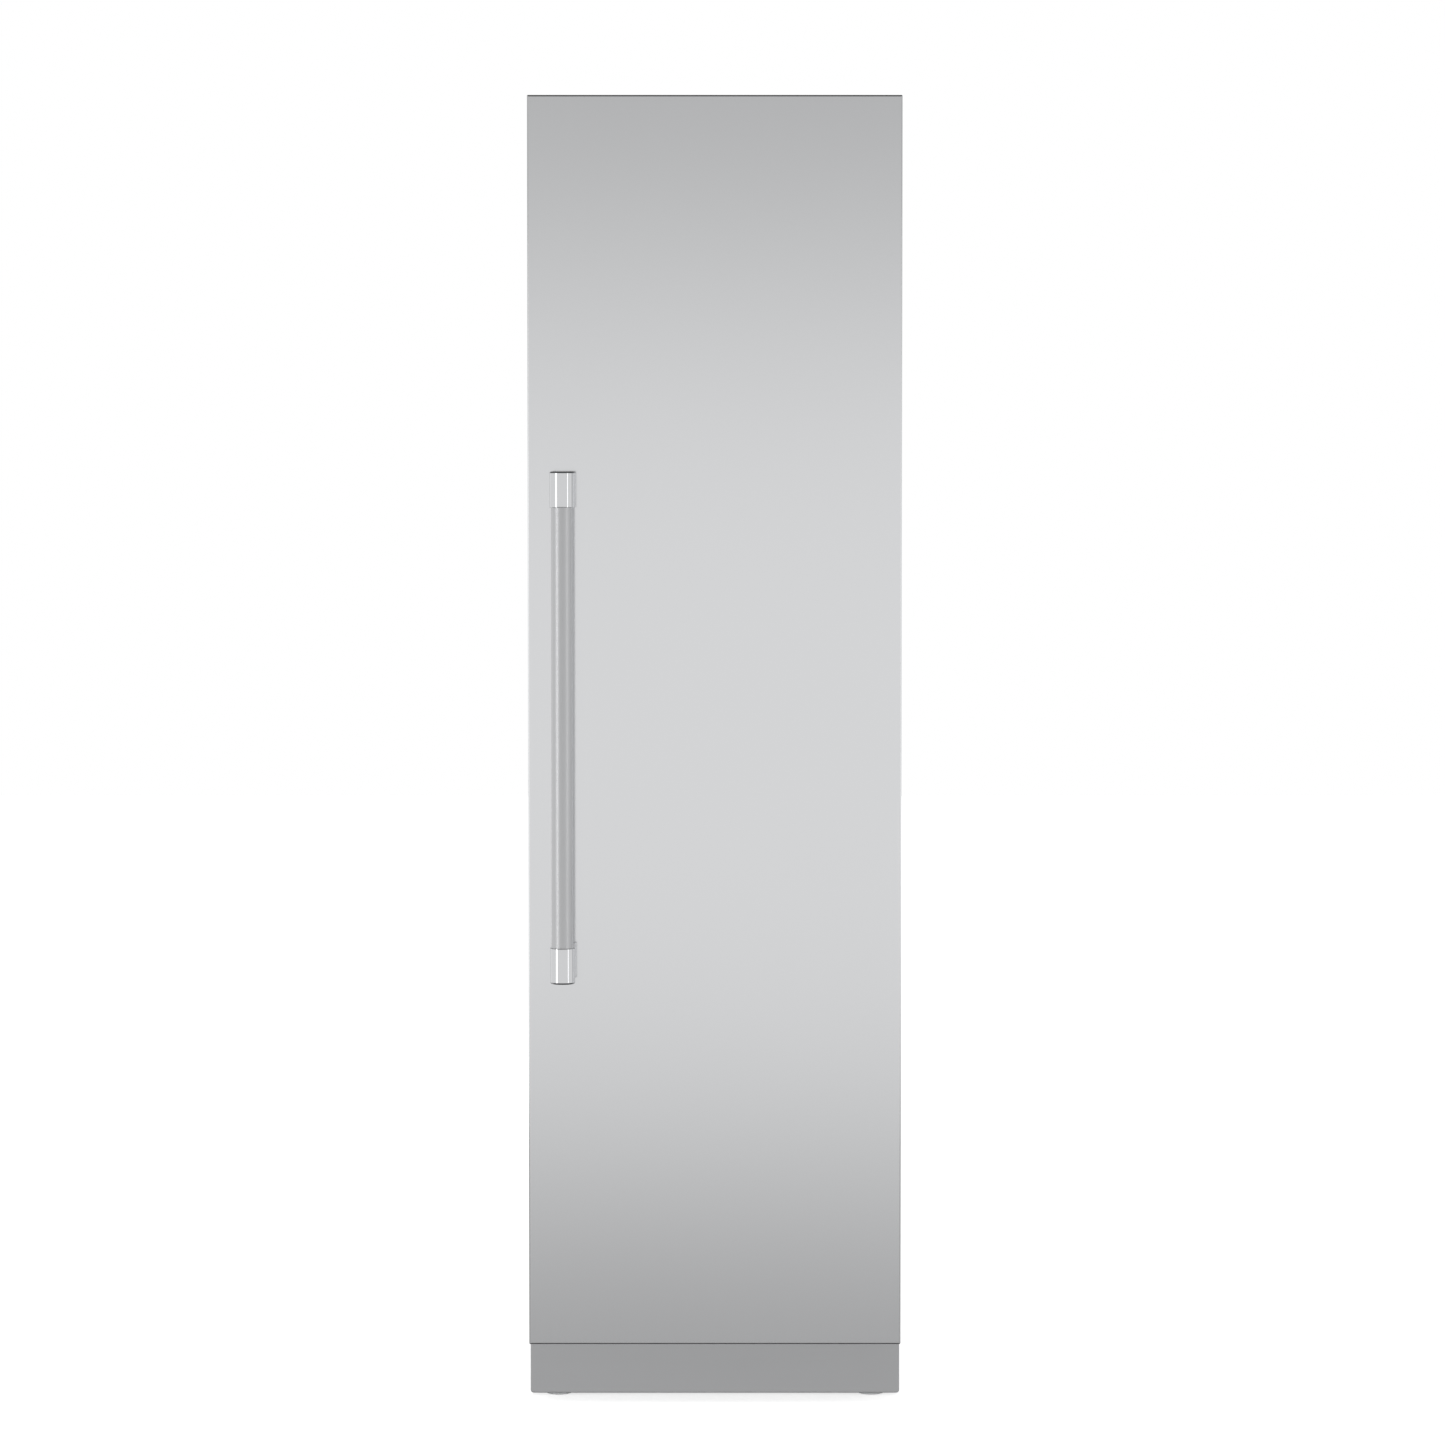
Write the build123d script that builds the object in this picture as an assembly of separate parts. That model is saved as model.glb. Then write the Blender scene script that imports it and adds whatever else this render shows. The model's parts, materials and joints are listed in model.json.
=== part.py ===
from build123d import *
import math
import os

# A built-in column refrigerator with one tall door, in millimetres.
# X runs to the right, Y to the back and Z up. The origin is on the floor, at the centre of the width
# and of the depth over the handle. The door opens about a pin at its right edge.

# Overall sizes
panel_width = 603.0
panel_height = 2019.0
toe_height = 100.0
body_depth = 610.0
side_reveal = 3.0
top_reveal = 6.0
skin = 1.0
overrun = 5.0
seat_gap = 0.3

# Door: folded front panel, insulated core and gasket
panel_depth = 20.0
panel_skin = 1.5
panel_bend = 2.5
panel_lip = 14.0
core_depth = 50.0
core_below = 14.0
core_above = 26.0
pan_lip = 22.0
gasket_depth = 12.0
gasket_width = 18.0
gasket_inset = 4.0
gasket_base = 4.0
gasket_bellows = 12.0

# Handle: a round tube held in two capped posts
handle_inset = 57.0
handle_standoff = 54.0
handle_length = 829.0
handle_bottom = 586.5
tube_radius = 17.5
tube_wall = 2.0
cap_radius = 20.2
cap_length = 61.0
cap_chamfer = 2.2
socket_depth = 14.0
socket_clearance = 0.1
post_width = 25.0
post_height = 46.0
post_corner = 4.0
foot_width = 34.0
foot_height = 57.0
foot_thickness = 4.0

# Door liner and what hangs on it
dyke_side_gap = 14.5
dyke_width = 28.0
dyke_depth = 48.0
dyke_draft = 4.0
dyke_top_gap = 12.0
low_rim_depth = 14.0
ledge_length = 40.0
ledge_width = 12.0
ledge_height = 8.0
bin_depth = 86.0
bin_height = 92.0
bin_wall = 2.5
bin_corner = 8.0
bin_rail_height = 12.0
bin_dip_share = 0.7
bin_rail_depth = 3.0
dairy_height = 128.0
dairy_depth = 72.0
lid_thickness = 2.5
lid_bulge = 7.0
lid_pin_radius = 3.0
lid_pin_length = 4.0
lid_barrel_radius = 5.0
pin_clearance = 0.05

# Hinges
pivot_from_edge = 24.0
pivot_behind_face = 40.0
hinge_plate = 8.0
hinge_nose_radius = 14.0
hinge_arm_right = 10.0
hinge_arm_left = 62.0
hinge_flange = 4.0
hinge_flange_right = 12.0
hinge_flange_left = 75.0
hinge_flange_height = 32.0
hinge_pin_radius = 6.0
hinge_pin_length = 26.0
hinge_running_gap = 1.0
bush_width = 18.0
bush_height = 24.0
bush_flange_radius = 13.0
bush_flange_height = 3.0
screw_head_radius = 4.5
screw_place_shares = (0.12, 0.5, 0.88)
screw_side_share = 0.25
hexagon_sides = 6
screw_head_height = 2.6

# Cabinet
side_wall = 52.0
top_wall = 60.0
back_wall = 53.0
floor_wall = 50.0
machine_height = 185.0
front_flange = 32.0
rear_flange = 15.0
liner_skin = 1.5
liner_flange = 19.8
cavity_corner = 12.0
bead_width = 16.0
bead_depth = 2.0

# Air duct on the back wall, evaporator and its fan
duct_depth = 40.0
duct_cover = 2.5
duct_side_gap = 2.0
duct_corner = 7.0
vent_width = 70.0
vent_height = 5.0
vent_pitch = 11.0
vent_rows = 4
intake_low = 15.0
intake_high = 30.0
coil_tube_radius = 4.0
coil_pitch = 32.0
coil_passes = 5
coil_half_width = 150.0
fin_thickness = 0.8
fin_pitch = 25.0
fin_overlap = 7.0
fin_depth = 22.0
fin_seat = 0.1
tube_sides = 6
bend_parts = 4
coil_above_floor = 60.0
fan_ring_radius = 52.0
fan_ring_wall = 3.0
fan_ring_depth = 22.0
fan_tip_gap = 3.0
fan_hub_radius = 15.0
fan_hub_depth = 12.0
fan_blade_thickness = 1.6
fan_blade_chord = 26.0
fan_root_share = 0.7
fan_floor_share = 0.25
fan_blades = 5
hub_sides = 20
ring_sides = 24
fan_pitch_angle = 34.0
fan_motor_radius = 18.0
fan_motor_depth = 12.0
fan_shaft_radius = 2.0
fan_shaft_length = 9.0
fan_axial_gap = 1.5
strut_width = 7.0
struts = 3
cooling_struts = 4
strut_depth = 3.0
fan_above_coil = 40.0

# Shelves on slotted ladders
ladder_inset = 24.0
ladder_width = 18.0
ladder_depth = 10.0
ladder_wall = 1.5
slot_pitch = 40.0
slot_height = 15.0
slot_width = 4.2
arm_thickness = 3.2
arm_front_height = 11.0
hook_height = 8.0
hook_drop = 5.0
hook_depth = 3.0
shelf_side_gap = 8.5
shelf_front_gap = 90.0
glass_thickness = 4.0
trim_height = 16.0
trim_depth = 13.0
trim_lip = 4.0
trim_ledge = 3.0
trim_round = 3.0
shelf_shares = (0.235, 0.475, 0.71)

# Crisper drawers under their glass cover
drawer_front_gap = 100.0
drawer_back_gap = 20.0
drawer_floor_gap = 9.0
drawer_height = 186.0
drawer_wall = 3.0
drawer_front = 6.0
drawer_corner = 6.0
drawer_draft = 6.0
drawer_lip = 5.0
drawer_side_clearance = 1.5
rail_depth = 12.0
rail_wall = 2.0
rail_play = 1.2
drawer_stack_gap = 14.0
pull_width = 150.0
pull_height = 32.0
pull_from_top = 16.0
pull_depth = 9.0
cover_height = 15.0
cover_rim = 12.0
slider_width = 34.0
slider_height = 8.0
slider_depth = 7.0
slider_stem = 4.0
slider_travel = 40.0
slider_play = 0.3
ridge_width = 1.2
ridge_proud = 1.2
ridge_height = 5.0
bin_shares = (0.06, 0.305, 0.55)
dairy_share = 0.8

# Controls and light at the ceiling
control_half_width = 110.0
control_setback = 68.0
control_depth = 84.0
control_height = 26.0
control_wall = 2.0
control_lean = 7.0
button_width = 17.0
button_height = 9.0
button_proud = 2.4
button_play = 0.3
button_flange = 1.2
button_flange_depth = 1.5
button_places_shares = (-0.72, 0.45, 0.72)
lamp_half_width = 95.0
lamp_length = 110.0
lamp_height = 9.0
lamp_corner = 12.0
lamp_edge = 3.0
lamp_gap = 30.0

# Machine compartment under the insulated floor
base_sheet = 2.0
base_bottom = 32.0
rail_height = 34.0
rail_width = 50.0
kick_overlap = 1.0
kick_setback = 95.0
kick_floor_gap = 4.0
kick_top_gap = 3.0
kick_skin = 1.5
kick_return = 11.0
kick_corner = 5.0
fixing_hole_radius = 4.5
fixing_spacing_x = 400.0
fixing_spacing_y = 260.0
service_gap = 2.0
louvre_height = 5.0
louvre_width = 82.0
louvre_column_pitch = 124.0
louvre_pitch = 15.0
louvre_rows = 6
louvre_columns = 4
compressor_radius = 78.0
compressor_height = 172.0
compressor_dome = 30.0
shell_sides = 24
shell_bottom_radius = 47.0
seam_share = 0.56
discharge_share = 0.36
suction_share = 0.47
seam_height = 7.0
seam_overhang = 4.0
compressor_place_share = 0.31
compressor_from_back = 120.0
foot_plate_width = 236.0
foot_plate_depth = 128.0
foot_plate_thickness = 3.0
grommet_radius = 12.0
grommet_neck = 8.5
grommet_height = 16.0
grommet_inset = 18.0
terminal_width = 52.0
terminal_depth = 26.0
terminal_height = 58.0
terminal_corner = 6.0
stub_radius = 3.2
stub_length = 16.0
condenser_tube_radius = 3.2
condenser_pitch = 28.0
condenser_rows = 5
condenser_columns = 2
condenser_width_share = 0.395
condenser_place_share = 0.238
condenser_from_front = 78.0
condenser_fin_pitch = 23.0
condenser_fin_thickness = 0.8
condenser_plate = 1.5
condenser_floor_gap = 8.0
cooling_ring_radius = 84.0
cooling_ring_depth = 30.0
cooling_gap = 24.0
shroud_wall = 2.0
shroud_side = 186.0
cooling_hub_radius = 24.0
cooling_hub_depth = 16.0
cooling_chord = 36.0
cooling_axial_gap = 5.0
cooling_motor_radius = 28.0
cooling_motor_depth = 30.0
cooling_shaft_length = 12.0
drain_pan_width_share = 0.402
drain_pan_depth_share = 0.37
drain_pan_height = 34.0
drain_pan_wall = 2.0
drain_pan_corner = 14.0
drain_pan_draft = 4.0
inlet_width = 50.0
inlet_height = 27.0
inlet_depth = 26.0
inlet_flange = 2.5
inlet_rim = 5.0
inlet_socket_depth = 18.0
inlet_wall = 4.0
inlet_prong_width = 1.8
inlet_prong_height = 5.5
inlet_prong_spacing = 11.0
inlet_prong_setback = 7.0
line_radius = 3.0

# Feet
leg_radius = 6.0
leg_foot_radius = 21.0
leg_foot_height = 9.0
leg_foot_sides = 24
leg_hex_height = 8.0
leg_hex_width = 22.0
leg_inset = 42.0
leg_behind_kick = 25.0
leg_nut_radius = 11.0
leg_top_room = 12.0
roller_radius = 24.0
roller_width = 22.0
roller_inset = 46.0
roller_from_back = 50.0
axle_radius = 4.0
ear_thickness = 3.0
ear_gap = 1.0
ear_radius = 11.0

# Places worked out from the sizes
cabinet_width = panel_width - 2 * side_reveal
kick_width = panel_width + 2 * kick_overlap
overall_depth = body_depth + handle_standoff + cap_radius
back_y = overall_depth / 2
panel_y = back_y - body_depth
core_y = panel_y + panel_depth
core_back_y = core_y + core_depth
face_y = core_back_y + gasket_depth
panel_z = toe_height
panel_top_z = panel_z + panel_height
core_z = panel_z + core_below
core_top_z = panel_top_z - core_above
cabinet_half = cabinet_width / 2
cabinet_z = toe_height + kick_skin
cabinet_top_z = panel_top_z - top_reveal
machine_top_z = toe_height + machine_height
cavity_half = cabinet_half - side_wall
cavity_z = machine_top_z + floor_wall
cavity_top_z = cabinet_top_z - top_wall
cavity_back_y = back_y - back_wall - liner_skin
duct_y = cavity_back_y - duct_depth
pivot_x = panel_width / 2 - pivot_from_edge
pivot_y = panel_y + pivot_behind_face
handle_x = -panel_width / 2 + handle_inset
handle_y = panel_y - handle_standoff
handle_z = panel_z + handle_bottom
handle_top_z = handle_z + handle_length
drawer_z = tuple(
    cavity_z + drawer_floor_gap + row * (drawer_height + drawer_stack_gap) for row in range(2)
)
cover_z = drawer_z[1] + drawer_height + rail_wall + rail_play
cover_top_z = cover_z + cover_height
shelf_span = cavity_top_z - cover_top_z
kick_y = panel_y + kick_setback
base_y = kick_y + kick_skin
compressor_x = cabinet_half - cabinet_width * compressor_place_share
condenser_half_width = cabinet_width * condenser_width_share / 2
dyke_half = cavity_half - dyke_side_gap
dyke_inner = dyke_half - dyke_width
bin_half = dyke_inner - dyke_draft - seat_gap


def block(x0, x1, y0, y1, z0, z1):
    """Box between two corners."""
    return Pos((x0 + x1) / 2, (y0 + y1) / 2, (z0 + z1) / 2) * Box(x1 - x0, y1 - y0, z1 - z0)


def rectangle(u0, u1, v0, v1, corner=0):
    """Flat rectangle between two corners, with round corners where asked."""
    width = u1 - u0
    height = v1 - v0
    if corner:
        shape = RectangleRounded(width, height, corner)
    else:
        shape = Rectangle(width, height)
    return Pos((u0 + u1) / 2, (v0 + v1) / 2) * shape


def cut_rectangle(u0, u1, v0, v1, cut):
    """Flat rectangle between two corners, with its corners cut straight where asked."""
    if not cut:
        return rectangle(u0, u1, v0, v1)
    return outline(
        (u0 + cut, v0), (u1 - cut, v0), (u1, v0 + cut), (u1, v1 - cut),
        (u1 - cut, v1), (u0 + cut, v1), (u0, v1 - cut), (u0, v0 + cut),
    )


def outline(*points):
    """Flat face inside straight edges."""
    return make_face(Polyline(*points, close=True))


def slab_x(sketch, x0, x1):
    """Sketch in Y and Z, carried along X."""
    return extrude(Plane(origin=(x0, 0, 0), x_dir=(0, 1, 0), z_dir=(1, 0, 0)) * sketch, x1 - x0)


def slab_y(sketch, y0, y1):
    """Sketch in X and Z, carried along Y."""
    return extrude(Plane(origin=(0, y0, 0), x_dir=(1, 0, 0), z_dir=(0, -1, 0)) * sketch, y0 - y1)


def slab_z(sketch, z0, z1):
    """Sketch in X and Y, carried along Z."""
    return extrude(Plane(origin=(0, 0, z0)) * sketch, z1 - z0)


def disc_x(y, z, radius, x0, x1):
    """Round bar along X."""
    return slab_x(Pos(y, z) * Circle(radius), x0, x1)


def disc_y(x, z, radius, y0, y1):
    """Round bar along Y."""
    return slab_y(Pos(x, z) * Circle(radius), y0, y1)


def disc_z(x, y, radius, z0, z1):
    """Round bar along Z."""
    return slab_z(Pos(x, y) * Circle(radius), z0, z1)


def tapered_y(near, far, y0, y1):
    """Solid between two rectangles, given as x0, x1, z0, z1 and how far their corners are cut."""
    plane = Plane(origin=(0, y0, 0), x_dir=(1, 0, 0), z_dir=(0, -1, 0))
    end = plane.offset(y0 - y1)
    return loft([plane * cut_rectangle(*near), end * cut_rectangle(*far)], ruled=True)


def tapered_z(low, high, z0, z1):
    """Solid between two rectangles, given as x0, x1, y0, y1 and how far their corners are cut."""
    start = Plane(origin=(0, 0, z0))
    end = Plane(origin=(0, 0, z1))
    return loft([start * cut_rectangle(*low), end * cut_rectangle(*high)], ruled=True)


def mirrored(shape):
    """The same shape on the other side of the middle."""
    return mirror(shape, Plane.YZ)


def group(solids):
    """Separate solids of one node."""
    return Compound(children=list(solids))


def serpentine(half_width, pitch, passes, tube_radius, y, z):
    """Tube in straight passes along X, joined by return bends of short straight parts."""
    points = []
    for row in range(passes):
        side = 1 if row % 2 == 0 else -1
        level = z + row * pitch
        points.append((-side * half_width, y, level))
        points.append((side * half_width, y, level))
        if row < passes - 1:
            for part in range(1, bend_parts):
                turn = math.pi * part / bend_parts
                points.append((
                    side * (half_width + math.sin(turn) * pitch / 2),
                    y,
                    level + pitch / 2 - math.cos(turn) * pitch / 2,
                ))
    path = Polyline(*points)
    start = Plane(origin=points[0], x_dir=(0, 1, 0), z_dir=(1, 0, 0))
    return sweep(start * RegularPolygon(tube_radius, tube_sides), path, transition=Transition.RIGHT)


def fan_blade_set(hub_radius, hub_depth, tip_radius, chord, blades, shaft_radius):
    """Hub on the Y axis with pitched blades and a blind bore for the shaft, its front at Y 0."""
    hub = slab_y(RegularPolygon(hub_radius, hub_sides), 0, hub_depth)
    lift = hub_depth / 2
    inner = hub_radius - fan_blade_thickness
    root_chord = min(chord * fan_root_share, hub_depth)
    pitch = math.radians(fan_pitch_angle)
    pitched = Plane(origin=(0, lift, 0), x_dir=(1, 0, 0), z_dir=(0, -math.cos(pitch), math.sin(pitch)))
    planform = outline(
        (inner, -root_chord / 2), (tip_radius, -chord / 2), (tip_radius, chord / 2), (inner, root_chord / 2)
    )
    blade = extrude(pitched * planform, fan_blade_thickness / 2, both=True)
    for number in range(blades):
        hub = hub + Rot(0, number * 360 / blades, 0) * blade
    bore = disc_y(
        0, 0, shaft_radius + pin_clearance, hub_depth * fan_floor_share, hub_depth + overrun
    )
    return hub - bore


# Door


def make_door_front_panel():
    """Stainless tray with small bends and a lip that returns behind the core's edge."""
    half = panel_width / 2
    tray = slab_y(rectangle(-half, half, panel_z, panel_top_z), panel_y, core_y)
    tray = fillet(tray.faces().sort_by(Axis.Y)[0].edges(), panel_bend)
    hollow = block(
        -half + panel_skin, half - panel_skin,
        panel_y + panel_skin, core_y - panel_skin,
        panel_z + panel_skin, panel_top_z - panel_skin,
    )
    window = block(
        -half + panel_lip, half - panel_lip,
        core_y - panel_skin - overrun, core_y + overrun,
        panel_z + panel_lip, panel_top_z - panel_lip,
    )
    return tray - hollow - window


def pan_frame(inset):
    """Half width, bottom and top of the door core, drawn in by a wall."""
    return cabinet_half - inset, core_z + inset, core_top_z - inset


def bush_body(z0, z1):
    """Square body of a hinge bush, which keeps it from turning in the door."""
    reach = bush_width / 2
    return block(pivot_x - reach, pivot_x + reach, pivot_y - reach, pivot_y + reach, z0, z1)


def bush_pocket():
    """Pockets for the hinge bushes at the core's two ends."""
    low = bush_body(core_z - overrun, core_z + bush_height)
    return low + bush_body(core_top_z - bush_height, core_top_z + overrun)


def make_door_outer_pan():
    """Steel pan round the door's foam, open to the liner, with a lip behind the edge."""
    half, low, high = pan_frame(0)
    inner, inner_low, inner_high = pan_frame(skin)
    shell = block(-half, half, core_y, core_back_y, low, high)
    hollow = block(-inner, inner, core_y + skin, core_back_y - skin, inner_low, inner_high)
    window = block(
        -half + pan_lip, half - pan_lip,
        core_y + skin, core_back_y + overrun,
        low + pan_lip, high - pan_lip,
    )
    return shell - hollow - window - bush_pocket()


def rim_block(inset, half, low, high, depth, corner):
    """Raised block of the liner's rim, with draft, drawn in by a skin."""
    near = (-half + inset, half - inset, low + inset, high - inset, corner)
    far = (
        -half + inset + dyke_draft, half - inset - dyke_draft,
        low + inset + dyke_draft, high - inset - dyke_draft, corner,
    )
    return tapered_y(near, far, core_back_y - skin, core_back_y + depth - inset)


def rim_well(grow, half, low, high, depth, corner):
    """The open middle of the rim, wider at its mouth, grown by a skin."""
    near = (
        -half - grow + dyke_draft, half + grow - dyke_draft,
        low - grow + dyke_draft, high + grow - dyke_draft, corner,
    )
    far = (-half - grow, half + grow, low - grow, high + grow, corner)
    return tapered_y(near, far, core_back_y - grow, core_back_y + depth + overrun)


def rim_levels():
    """Bottom, step and top of the rim."""
    low = cavity_z + dyke_top_gap
    step = cover_top_z + dyke_top_gap
    high = cavity_top_z - dyke_top_gap
    return low, step, high


def liner_rim(inset):
    """Deep rim round the bins and shallow rim in front of the drawers."""
    low, step, high = rim_levels()
    deep = rim_block(inset, dyke_half, step, high, dyke_depth, cavity_corner)
    deep = deep - rim_well(
        inset, dyke_inner, step + dyke_width, high - dyke_width, dyke_depth, cavity_corner
    )
    shallow = rim_block(inset, dyke_half, low, step + dyke_width / 2, low_rim_depth, 0)
    shallow = shallow - rim_well(
        inset, dyke_inner, low + dyke_width, step, low_rim_depth, 0
    )
    return deep, shallow


def bin_floor(share):
    """Height of a bin's underside."""
    return cover_top_z + share * shelf_span


def ledge_pair(z):
    """Two ledges inside the rim that carry a bin or the dairy tub at this height."""
    y0 = core_back_y + dyke_depth - ledge_length
    right = block(
        dyke_inner - ledge_width, dyke_inner + dyke_draft + skin,
        y0, core_back_y + dyke_depth - dyke_draft, z - ledge_height, z,
    )
    return right + mirrored(right)


def make_door_inner_liner():
    """Moulded liner: a flat flange, the raised rims and the ledges for the bins."""
    half = cabinet_half - pan_lip
    plate = block(
        -half, half, core_back_y - skin, core_back_y, core_z + pan_lip, core_top_z - pan_lip
    )
    deep, shallow = liner_rim(0)
    deep_core, shallow_core = liner_rim(skin)
    liner = plate + deep + shallow - deep_core - shallow_core
    for share in bin_shares + (dairy_share,):
        liner = liner + ledge_pair(bin_floor(share))
    return liner


def make_door_foam():
    """Foam slab between the pan and the liner, and the foam that fills the liner's two rims."""
    half, low, high = pan_frame(skin)
    slab = block(-half, half, core_y + skin, core_back_y - skin, low, high) - bush_pocket()
    deep, shallow = liner_rim(skin)
    shallow = shallow - deep
    for share in bin_shares + (dairy_share,):
        deep = deep - ledge_pair(bin_floor(share))
    return group([slab, deep - slab, shallow - slab])


def make_door_gasket():
    """Magnetic gasket: a broad base held to the liner and a narrower bellows."""
    inner = cavity_half + gasket_inset
    low = cavity_z - gasket_inset
    high = cavity_top_z + gasket_inset

    def ring(width, y0, y1):
        start = (gasket_width - width) / 2
        edge = start + width
        outside = rectangle(-inner - edge, inner + edge, low - edge, high + edge)
        inside = rectangle(-inner - start, inner + start, low - start, high + start)
        return slab_y(outside, y0, y1) - slab_y(inside, y0, y1)

    base = ring(gasket_width, core_back_y, core_back_y + gasket_base)
    bellows = ring(gasket_bellows, core_back_y + gasket_base, face_y - seat_gap)
    return base + bellows


def make_handle_tube():
    """Brushed tube between the two capped posts."""
    low = handle_z + cap_length - socket_depth
    high = handle_top_z - cap_length + socket_depth
    tube = disc_z(handle_x, handle_y, tube_radius, low, high)
    return tube - disc_z(handle_x, handle_y, tube_radius - tube_wall, low - overrun, high + overrun)


def make_handle_bracket(low, socket_at_top):
    """Polished cap on a post with a foot on the panel, and a socket for the tube."""
    high = low + cap_length
    middle = (low + high) / 2
    cap = disc_z(handle_x, handle_y, cap_radius, low, high)
    rims = cap.edges().filter_by(GeomType.CIRCLE).sort_by(Axis.Z)
    cap = chamfer(rims[0] if socket_at_top else rims[-1], cap_chamfer)
    post = slab_y(
        cut_rectangle(
            handle_x - post_width / 2, handle_x + post_width / 2,
            middle - post_height / 2, middle + post_height / 2, post_corner,
        ),
        handle_y, panel_y,
    )
    plate = slab_y(
        cut_rectangle(
            handle_x - foot_width / 2, handle_x + foot_width / 2,
            middle - foot_height / 2, middle + foot_height / 2, post_corner,
        ),
        panel_y - foot_thickness, panel_y,
    )
    bracket = cap + post + plate
    if socket_at_top:
        start, end = high - socket_depth, high + overrun
    else:
        start, end = low - overrun, low + socket_depth
    return bracket - disc_z(handle_x, handle_y, tube_radius + socket_clearance, start, end)


def tub(half, y0, y1, z0, z1, wall, corner):
    """Open tray with round corners, its wall and floor of one thickness."""
    outside = slab_z(rectangle(-half, half, y0, y1, corner), z0, z1)
    inside = slab_z(
        rectangle(-half + wall, half - wall, y0 + wall, y1 - wall),
        z0 + wall, z1 + overrun,
    )
    return outside - inside


def floor_and_walls(tray, half, y0, y1, z0, wall, top):
    """The same open tray as five solids that touch: its floor, its two ends and its two long walls."""
    far = half + overrun
    floor = tray & block(-far, far, y0 - overrun, y1 + overrun, z0 - overrun, z0 + wall)
    end = tray & block(half - wall, far, y0 - overrun, y1 + overrun, z0 + wall, top + overrun)
    long_walls = [
        tray & block(-half + wall, half - wall, low, high, z0 + wall, top + overrun)
        for low, high in ((y0 - overrun, y0 + wall), (y1 - wall, y1 + overrun))
    ]
    return group([floor, end, mirrored(end)] + long_walls)


def make_door_bin(share):
    """Clear bin on two ledges, with a bright retaining rail along its inner side."""
    z0 = bin_floor(share)
    half = bin_half
    y0 = core_back_y + seat_gap
    y1 = y0 + bin_depth
    tray = tub(half, y0, y1, z0, z0 + bin_height, bin_wall, bin_corner)
    rail = block(
        -half + bin_corner, half - bin_corner,
        y1 - bin_wall, y1 + bin_rail_depth,
        z0 + bin_height - bin_rail_height, z0 + bin_height,
    )
    dip = slab_y(
        rectangle(
            -half + bin_corner * 2, half - bin_corner * 2,
            z0 + bin_height * bin_dip_share, z0 + bin_height + overrun,
        ),
        y0 - overrun, y0 + bin_wall + overrun,
    )
    return floor_and_walls(tray + rail - dip, half, y0, y1, z0, bin_wall, z0 + bin_height)


def dairy_levels():
    """Underside, lid pin height and lid pin depth of the dairy compartment."""
    z0 = bin_floor(dairy_share)
    pin_z = z0 + dairy_height - lid_barrel_radius - bin_wall
    pin_y = core_back_y + seat_gap + dairy_depth + lid_barrel_radius
    return z0, pin_z, pin_y


def make_dairy_compartment():
    """Tub with a roof, open towards the cabinet, with an ear on each side for the lid's pins."""
    z0, pin_z, pin_y = dairy_levels()
    half = bin_half
    y0 = core_back_y + seat_gap
    y1 = y0 + dairy_depth
    shell = block(-half, half, y0, y1, z0, z0 + dairy_height)
    shell = chamfer(shell.edges().filter_by(Axis.X).sort_by(Axis.Y)[:2], bin_corner / 2)
    hollow = block(
        -half + bin_wall, half - bin_wall, y0 + bin_wall, y1 + overrun,
        z0 + bin_wall, z0 + dairy_height - bin_wall,
    )
    tub_shell = shell - hollow
    ear_reach = lid_barrel_radius + bin_wall
    ear_profile = outline(
        (y1 - bin_corner, pin_z - ear_reach), (pin_y, pin_z - ear_reach),
        (pin_y + ear_reach, pin_z - ear_reach / 2), (pin_y + ear_reach, pin_z + ear_reach / 2),
        (pin_y, pin_z + ear_reach), (y1 - bin_corner, pin_z + ear_reach),
    )
    ear = slab_x(ear_profile, half - bin_wall, half)
    tub_shell = tub_shell + ear + mirrored(ear)
    bore = disc_x(pin_y, pin_z, lid_pin_radius + pin_clearance, -half - overrun, half + overrun)
    return tub_shell - bore


def make_dairy_lid():
    """Bulging lid that hangs from two pins at its top edge."""
    z0, pin_z, pin_y = dairy_levels()
    half = bin_half - bin_wall - drawer_side_clearance
    low = z0 + bin_wall
    face = core_back_y + seat_gap + dairy_depth + seat_gap
    height = pin_z - low
    inner_edge = face + lid_thickness
    profile = make_face(
        Curve() + [
            Line((face, low), (inner_edge, low)),
            ThreePointArc(
                (inner_edge, low), (inner_edge + lid_bulge, low + height / 2), (inner_edge, pin_z)
            ),
            Line((inner_edge, pin_z), (face, pin_z)),
            ThreePointArc((face, pin_z), (face + lid_bulge, low + height / 2), (face, low)),
        ]
    )
    lid = slab_x(profile, -half, half)
    barrel = disc_x(pin_y, pin_z, lid_barrel_radius, -half, half)
    pins = disc_x(pin_y, pin_z, lid_pin_radius, -half - lid_pin_length, half + lid_pin_length)
    return lid + barrel + pins


def make_hinge_bushes():
    """Flanged bushes in the door's two ends, each with a bore for its pin."""
    low = bush_body(core_z, core_z + bush_height)
    flange = Pos(pivot_x, pivot_y) * RegularPolygon(bush_flange_radius, hexagon_sides)
    low = low + slab_z(flange, core_z - bush_flange_height, core_z)
    high = bush_body(core_top_z - bush_height, core_top_z)
    high = high + slab_z(flange, core_top_z, core_top_z + bush_flange_height)
    bore = disc_z(
        pivot_x, pivot_y, hinge_pin_radius + pin_clearance, panel_z - overrun, panel_top_z + overrun
    )
    return group([low - bore, high - bore])


# Hinges


def hinge_screw_places():
    """Three screws in a row across the hinge flange."""
    span = hinge_flange_left - hinge_flange_right
    return [pivot_x - hinge_flange_right - span * share for share in screw_place_shares]


def hinge_flange_middle(top):
    """Height of the middle of a hinge flange: it ends flush with the cabinet."""
    if top:
        return cabinet_top_z - hinge_flange_height / 2
    return cabinet_z + hinge_flange_height / 2


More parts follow.
